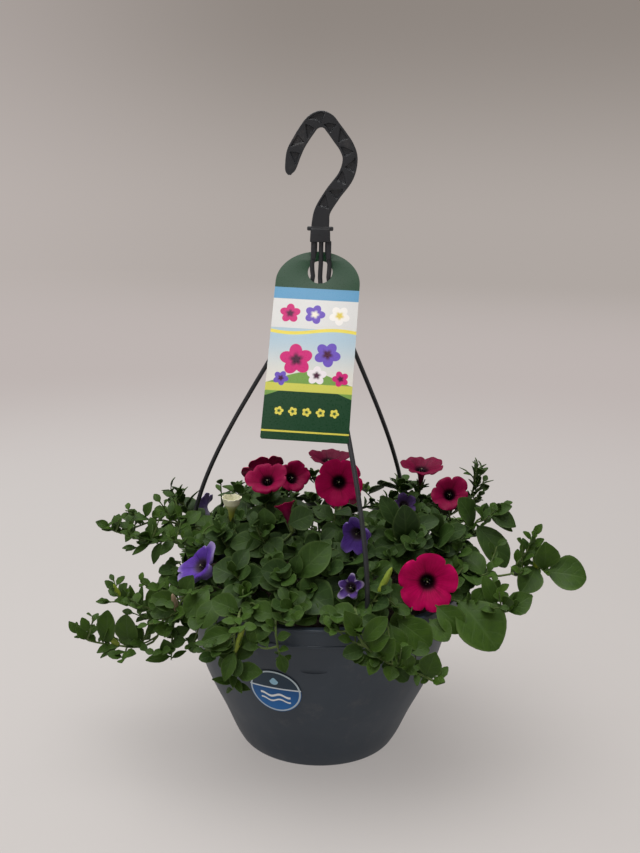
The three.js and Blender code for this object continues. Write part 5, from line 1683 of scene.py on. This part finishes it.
def make_spray(name, spray, index, rosettes):
    draw = random.Random(100 + index)
    tree = corners_of(f"spray_{name}")
    bm = bmesh.new()
    bm.loops.layers.uv.new("UVMap")
    bm.verts.layers.float.new("tone")
    line = STEM_LINES[name]
    axis = spaced_points(line, stem_steps(line))
    length = arc_lengths(line)[-1]
    fresh = 0.15 + 0.25 * smooth_step(60, -120, line[-1].y) * smooth_step(260, 120, line[-1].z)
    fresh += 0.4 * smooth_step(120, 190, line[-1].xy.length)
    for i, row in enumerate([*spray.get("leaves", []), *fill_rows(spray, index)]):
        root = root_on(axis, line_point(line, row[0]))
        found = find_leaf(tree, root, row)
        if found is None:
            continue
        along, long, size = leaf_try(row, found)
        near, far, wider = SET_OFF.get((name, i), (0, 0, 1))
        tip = root + along * (long + far)
        start = line_point(line, row[0]) + along * near
        tone = tone_near(fresh + (0.2 if long < 18 else 0), draw, -0.2, 0.2)
        face = facing(root, along)
        if root.y < 30:
            face = face + Vector((0, -0.55, 0.1))
        broad = long > BROAD_LENGTH and name != "front_left"
        add_leaf(
            bm, start, (tip - start).normalized(), face, (tip - start).length, 1.16 * row[2] * size * wider,
            tone, draw, BROAD_ROWS if broad else LEAF_ROWS, 6 if broad else 4,
        )
    add_sprigs(bm, line, round(length / 9), draw, fresh + 0.1)
    for root, tip, wide in BROAD_LEAVES.get(name, []):
        root, tip = Vector(root), Vector(tip)
        way = (tip - root).normalized()
        add_leaf(
            bm, root, way, facing(root, way) + Vector((0, -0.8, 0)), (tip - root).length, wide,
            fresh + 0.1, draw, BROAD_ROWS, 6,
        )
    twig = None
    if "twig" in spray:
        at, route = spray["twig"]
        points = [root_on(axis, line_point(line, at)), *map(Vector, route)]
        k = best_of(LINE_TRIES, lambda k: hits(tree, spaced_points(bent(points, 1, k), 5)[1:], TWIG))
        twig = bent(points, 1, k)
        add_sprigs(bm, twig, 9, draw, fresh + 0.1)
    shoots = []
    for middle, root in rosettes:
        route = rosette_stalk(root, middle, draw)
        if any(hides_bloom(line_point(route, part / 6)) for part in range(2, 7)):
            continue
        if add_rosette(bm, middle, root, draw, 0.5 * fresh + 0.1):
            shoots.append(route)
    shoots += add_shoots(bm, line, SIDE_SHOOTS.get(name, 0), draw, fresh + 0.1)
    bmesh.ops.solidify(bm, geom=bm.faces[:], thickness=LEAF_THICK)
    for shoot in shoots:
        radii = [TWIG * (0.9 - 0.06 * i) for i in range(8)]
        add_tube(bm, spaced_points(shoot, 7), radii, 6, STALK_INDEX)
    steps = max(10, round(length / 7))
    points = spaced_points(line, steps)
    radii = [STEM * (0.95 - 0.45 * i / steps) for i in range(steps)] + [0.35]
    add_tube(bm, points, radii, 8, STALK_INDEX)
    add_hairs(bm, points, 1.1, round(length / 2), draw)
    if twig:
        radii = [TWIG * (0.95 - 0.03 * i) for i in range(12)] + [0.3]
        add_tube(bm, spaced_points(twig, 12), radii, 6, STALK_INDEX)
    for i, row in enumerate(spray.get("buds", [])):
        root = root_on(axis, line_point(line, row[0]))
        k = find_bud(tree, root, row)
        if k is None:
            continue
        tone = SPENT.get((name, i), draw.uniform(0, 0.15))
        add_bud(bm, root, heading(row[3] + 20 * k, row[4]), row[1], row[2], tone)
    for bloom in BLOOMS.values():
        if bloom[1] != name:
            continue
        route, foot, along = stalk_line(bloom, tree, (axis, line))
        radii = [TWIG * (0.85 + 0.02 * i) for i in range(13)]
        add_tube(bm, spaced_points(route, 12), radii, 8, STALK_INDEX)
        add_cup(bm, foot, along, draw)
    place_piece(f"leafy_{name}", bm, [LEAF, STALK, BUD], f"spray_{name}", sharp=50)


def bloom_profile(kind, radius, funnel, throat):
    """A trumpet as (radius, height, place out): a slim tube, a widening throat, then the limb."""
    tube = [(0.9, -1, 0), (0.95, -0.92, 0.03), (1.05, -0.8, 0.06), (1.25, -0.65, 0.1), (1.6, -0.5, 0.15)]
    rows = [(1.9 * wide, high * funnel, out) for wide, high, out in tube]
    limb = 9
    for i in range(limb + 1):
        part = i / limb
        rise = -0.3 * funnel * (1 - part) ** (1.5 if kind != "white" else 1.1)
        rows.append((throat + (radius - throat) * part, rise - 0.02 * radius * part**4, 0.22 + 0.78 * part))
    return rows


STIGMA_TONE, ANTHER_TONE = 0.35, 1


def add_pistil(bm, funnel, throat):
    """The stigma and five anthers that show in the throat."""
    level = bm.verts.layers.float["tone"]
    spots = [(0, 0, 0.75)] + [
        (0.42 * throat * math.cos(turn), 0.42 * throat * math.sin(turn), 0.5)
        for turn in (2 * math.pi * i / 5 for i in range(5))
    ]
    for x, z, size in spots:
        top = -0.24 * funnel if size > 0.6 else -0.3 * funnel
        profile = [
            (0, -0.7 * funnel), (0.22, -0.7 * funnel), (0.22, top - 0.5), (size, top - 0.1),
            (0.9 * size, top + 0.45), (0.4 * size, top + 0.7), (0, top + 0.72),
        ]
        made = add_turned(bm, profile, 8, Matrix.Translation((x, 0, z)), STAMEN_INDEX, (0, 1, 0))
        for vert in made:
            vert[level] = STIGMA_TONE if size > 0.6 else ANTHER_TONE


# How pale the edge of a bloom is, 0 to 1.
PALE = {
    "violet_left": 0.42, "violet_centre": 0.12, "violet_star": 0.75, "violet_deep": 0, "violet_back": 0.4,
}
# Painted shade on each bloom, 0 to 1: how far its limb is darkened towards its throat colour.
PAINTED_SHADE = {
    "magenta_centre": 0.2, "magenta_left": 0.6, "magenta_left_back": 0.65, "magenta_behind": 1,
    "magenta_top_right": 0.9, "magenta_right": 0.75, "magenta_closing": 0, "violet_centre": 0.25,
    "violet_star": 0.6, "violet_deep": 0.9,
}
# How far a bloom's limb is folded, and how pointed its petals are.
FOLDED = {
    "violet_left": 0.42, "violet_centre": 0.3, "violet_star": 0.2, "magenta_left": 0.13,
    "magenta_left_back": 0.15, "magenta_right": 0.12, "magenta_top_right": 0.08, "magenta_behind": 0.1,
}
# The way a folded limb stays wide, as seen from the front.
RIDGES = {"violet_left": (0.75, 0, 0.66), "violet_centre": (0.3, 0, 0.95), "magenta_left": (1, 0, 0.3)}
POINTED = {"violet_left": 0.7, "violet_centre": 0.9, "violet_star": 1.3, "violet_deep": 0.6}


def make_bloom(name, bloom, index):
    kind, _, _, at, turn, lift, radius, funnel, lobes, roll = bloom
    throat = radius * 0.72 if kind == "white" else 2.6 + radius * 0.13
    draw = random.Random(500 + index)
    phase = draw.uniform(0, 6.3)
    place = aimed(Vector(at), heading(turn, lift)) @ turned(roll, "Y")
    ridge = place.to_3x3().inverted() @ Vector(RIDGES.get(name, (0.7, 0, 0.7)))
    fold = math.atan2(ridge.x, ridge.z)
    bm = bmesh.new()
    # The tone level sets the pale edge; the deep level carries the bloom's painted shade.
    for level in ("tone", "deep"):
        bm.verts.layers.float.new(level)
    spoke = bm.verts.layers.float_vector.new("spoke")
    tone, deep = bm.verts.layers.float["tone"], bm.verts.layers.float["deep"]
    pointed, folded = POINTED.get(name, 0.42), FOLDED.get(name, 0.04)
    petals = [draw.uniform(0.94, 1.0) for _ in range(5)]
    rows = bloom_profile(kind, radius, funnel, throat)
    verts = [bm.verts.new((wide, high, 0)) for wide, high, _ in rows]
    for vert, (_, _, out) in zip(verts, rows):
        vert[spoke] = (0, 0, out)
    spin_line(bm, verts, (0, 1, 0), 80)
    bmesh.ops.recalc_face_normals(bm, faces=bm.faces)
    if bm.faces[:][-1].normal.y < 0:
        bmesh.ops.reverse_faces(bm, faces=bm.faces)
    for vert in bm.verts:
        x, y, z = vert.co
        angle = math.atan2(x, z)
        out = max(0, (math.hypot(x, z) - throat) / (radius - throat))
        wave = abs(math.cos(2.5 * angle))
        petal = petals[round(5 * angle / (2 * math.pi)) % 5]
        grow = 1 - 1.25 * lobes * (1 - wave**pointed) * out**2
        grow *= 1 - (1 - petal) * out * wave
        rise = 0.05 * radius * (wave - 0.5) * out**2
        rise += 0.03 * radius * math.sin(11 * angle + phase) * out**3
        back = (math.sin(angle - fold) * out) ** 2
        rise += folded * radius * (0.4 - 1.5 * back) * out
        grow *= 1 + folded * (0.3 * out - 1.1 * back)
        rise -= 0.035 * radius * (1 - wave) ** 3 * out * (1 - 0.5 * out)
        vert.co = Vector((x * grow, y + rise, z * grow))
        vert[spoke] = (math.sin(angle), math.cos(angle), vert[spoke][2])
        vert[tone] = PALE.get(name, 0.6)
        vert[deep] = PAINTED_SHADE.get(name, 0)
    made = bmesh.ops.solidify(bm, geom=bm.faces[:], thickness=PETAL_THICK)["geom"]
    paint(kind_of(made, bmesh.types.BMFace), BACK_INDEX)
    if radius > 11:
        add_pistil(bm, funnel, throat)
    bmesh.ops.transform(bm, matrix=place, verts=bm.verts)
    finishes = [PETALS[kind], BACKS[kind], STAMEN]
    place_piece(f"flower_{name}", bm, finishes, f"bloom_{name}", sharp=70)


# The far wall's tones at the right and at the left.
BACKDROP = (rgb(175, 167, 162), rgb(196, 187, 184))


def make_floor():
    """A wide pale floor that turns into the backdrop's tone with distance. Near the pot half of it glows,
    painted light that softens the pot's cast shadow, and the glow is painted lighter to the left, where the
    light falls stronger.
    """
    bm = bmesh.new()
    bmesh.ops.create_circle(bm, cap_ends=True, segments=96, radius=8)
    floor = mesh_object("floor", bm)
    finish = bpy.data.materials.new("floor")
    finish.use_nodes = True
    finish.node_tree.nodes.clear()
    sheet = Sheet(finish.node_tree)
    place = sheet.place()
    far = sheet.vectors("LENGTH", place, key="Value")
    across, _, _ = sheet.parts(place)
    near = sheet.blend(sheet.noise(place, 3.0, 3.0), rgb(186, 183, 181), rgb(192, 189, 187))
    near = sheet.out("BsdfPrincipled", {"Base Color": near, "Roughness": 0.9})
    # Painted light: the glow is lighter to the left.
    wall = sheet.blend(across.step(-0.7, 0.7), rgb(211, 206, 203), rgb(202, 196, 193))
    wall = sheet.blend(far.step(0.5, 2.4), wall, rgb(190, 181, 178))
    distant = sheet.blend((across / far).step(-0.4, 0.0, 0.5, 0.0), *BACKDROP)
    wall = sheet.blend(far.step(2.0, 7.5), wall, distant)
    glow = sheet.out("Emission", {"Color": wall, "Strength": 1.0})
    # Even near the pot, half the floor glows: painted light that lifts the pot's shadow.
    mixed = sheet.out("MixShader", {0: far.step(0.3, 1.3, 0.5, 1.0), 1: near, 2: glow})
    sheet.add("OutputMaterial", {0: mixed})
    floor.data.materials.append(finish)


def make_backdrop():
    """The plain backdrop, a little darker towards the top, which also gives the even light."""
    world = bpy.data.worlds.new("backdrop")
    bpy.context.scene.world = world
    world.use_nodes = True
    world.node_tree.nodes.clear()
    sheet = Sheet(world.node_tree)
    across, _, up = sheet.parts(sheet.place("Generated"))
    shade = sheet.blend(up.step(-0.01, 0.2), BACKDROP[0], rgb(142, 134, 128))
    shade = sheet.blend(across.step(-0.4, 0.0, 0.5, 0.0), shade, BACKDROP[1])
    seen = sheet.out("LightPath", key="Is Camera Ray")
    sheet.add("OutputWorld", {0: sheet.out("Background", {0: shade, 1: seen.step(0.0, 1.0, 0.8, 1.0)})})


def add_light(name, at, aim, size, power):
    light = bpy.data.lights.new(name, "AREA")
    light.shape = "RECTANGLE"
    light.size = light.size_y = size
    light.energy = power
    light.color = (1, 0.99, 0.98)
    lamp = add_object(name, light)
    lamp.location = at
    lamp.rotation_mode = "QUATERNION"
    lamp.rotation_quaternion = (Vector(aim) - Vector(at)).to_track_quat("-Z", "Y")


def make_camera():
    """The camera as fitted to the photo: a long lens, tilted down and rolled a little."""
    lens = bpy.data.cameras.new("camera")
    lens.sensor_width = 36
    lens.lens = 1000 / 853 * 36
    lens.clip_start, lens.clip_end = 0.05, 50
    camera = add_object("camera", lens)
    camera.rotation_mode = "QUATERNION"
    turn = Matrix.Rotation(math.pi / 2 - 0.207, 4, "X") @ Matrix.Rotation(0.02, 4, "Z")
    camera.rotation_quaternion = turn.to_quaternion()
    camera.location = EYE * MM
    bpy.context.scene.camera = camera


make_camera()
make_pot()
make_hanger()
make_tag()
make_sticker()
make_soil()
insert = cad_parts["reservoir_insert"]
insert.data.materials.clear()
insert.data.materials.append(INSERT_PLASTIC)
for name, spray in SPRAYS.items():
    STEM_LINES[name] = find_stem(spray, corners_of(f"spray_{name}"))
shares = share_canopy()
for index, (name, spray) in enumerate(SPRAYS.items()):
    make_spray(name, spray, index, shares[name])
for index, (name, bloom) in enumerate(BLOOMS.items()):
    make_bloom(name, bloom, index)
make_floor()
make_backdrop()
add_light("top", (-0.25, 0, 2.2), (0, 0, 0.1), 2.4, 66)
add_light("left", (-1.6, -1.6, 1.4), (0, 0, 0.2), 1.6, 4)
bpy.context.scene.view_settings.view_transform = "Standard"
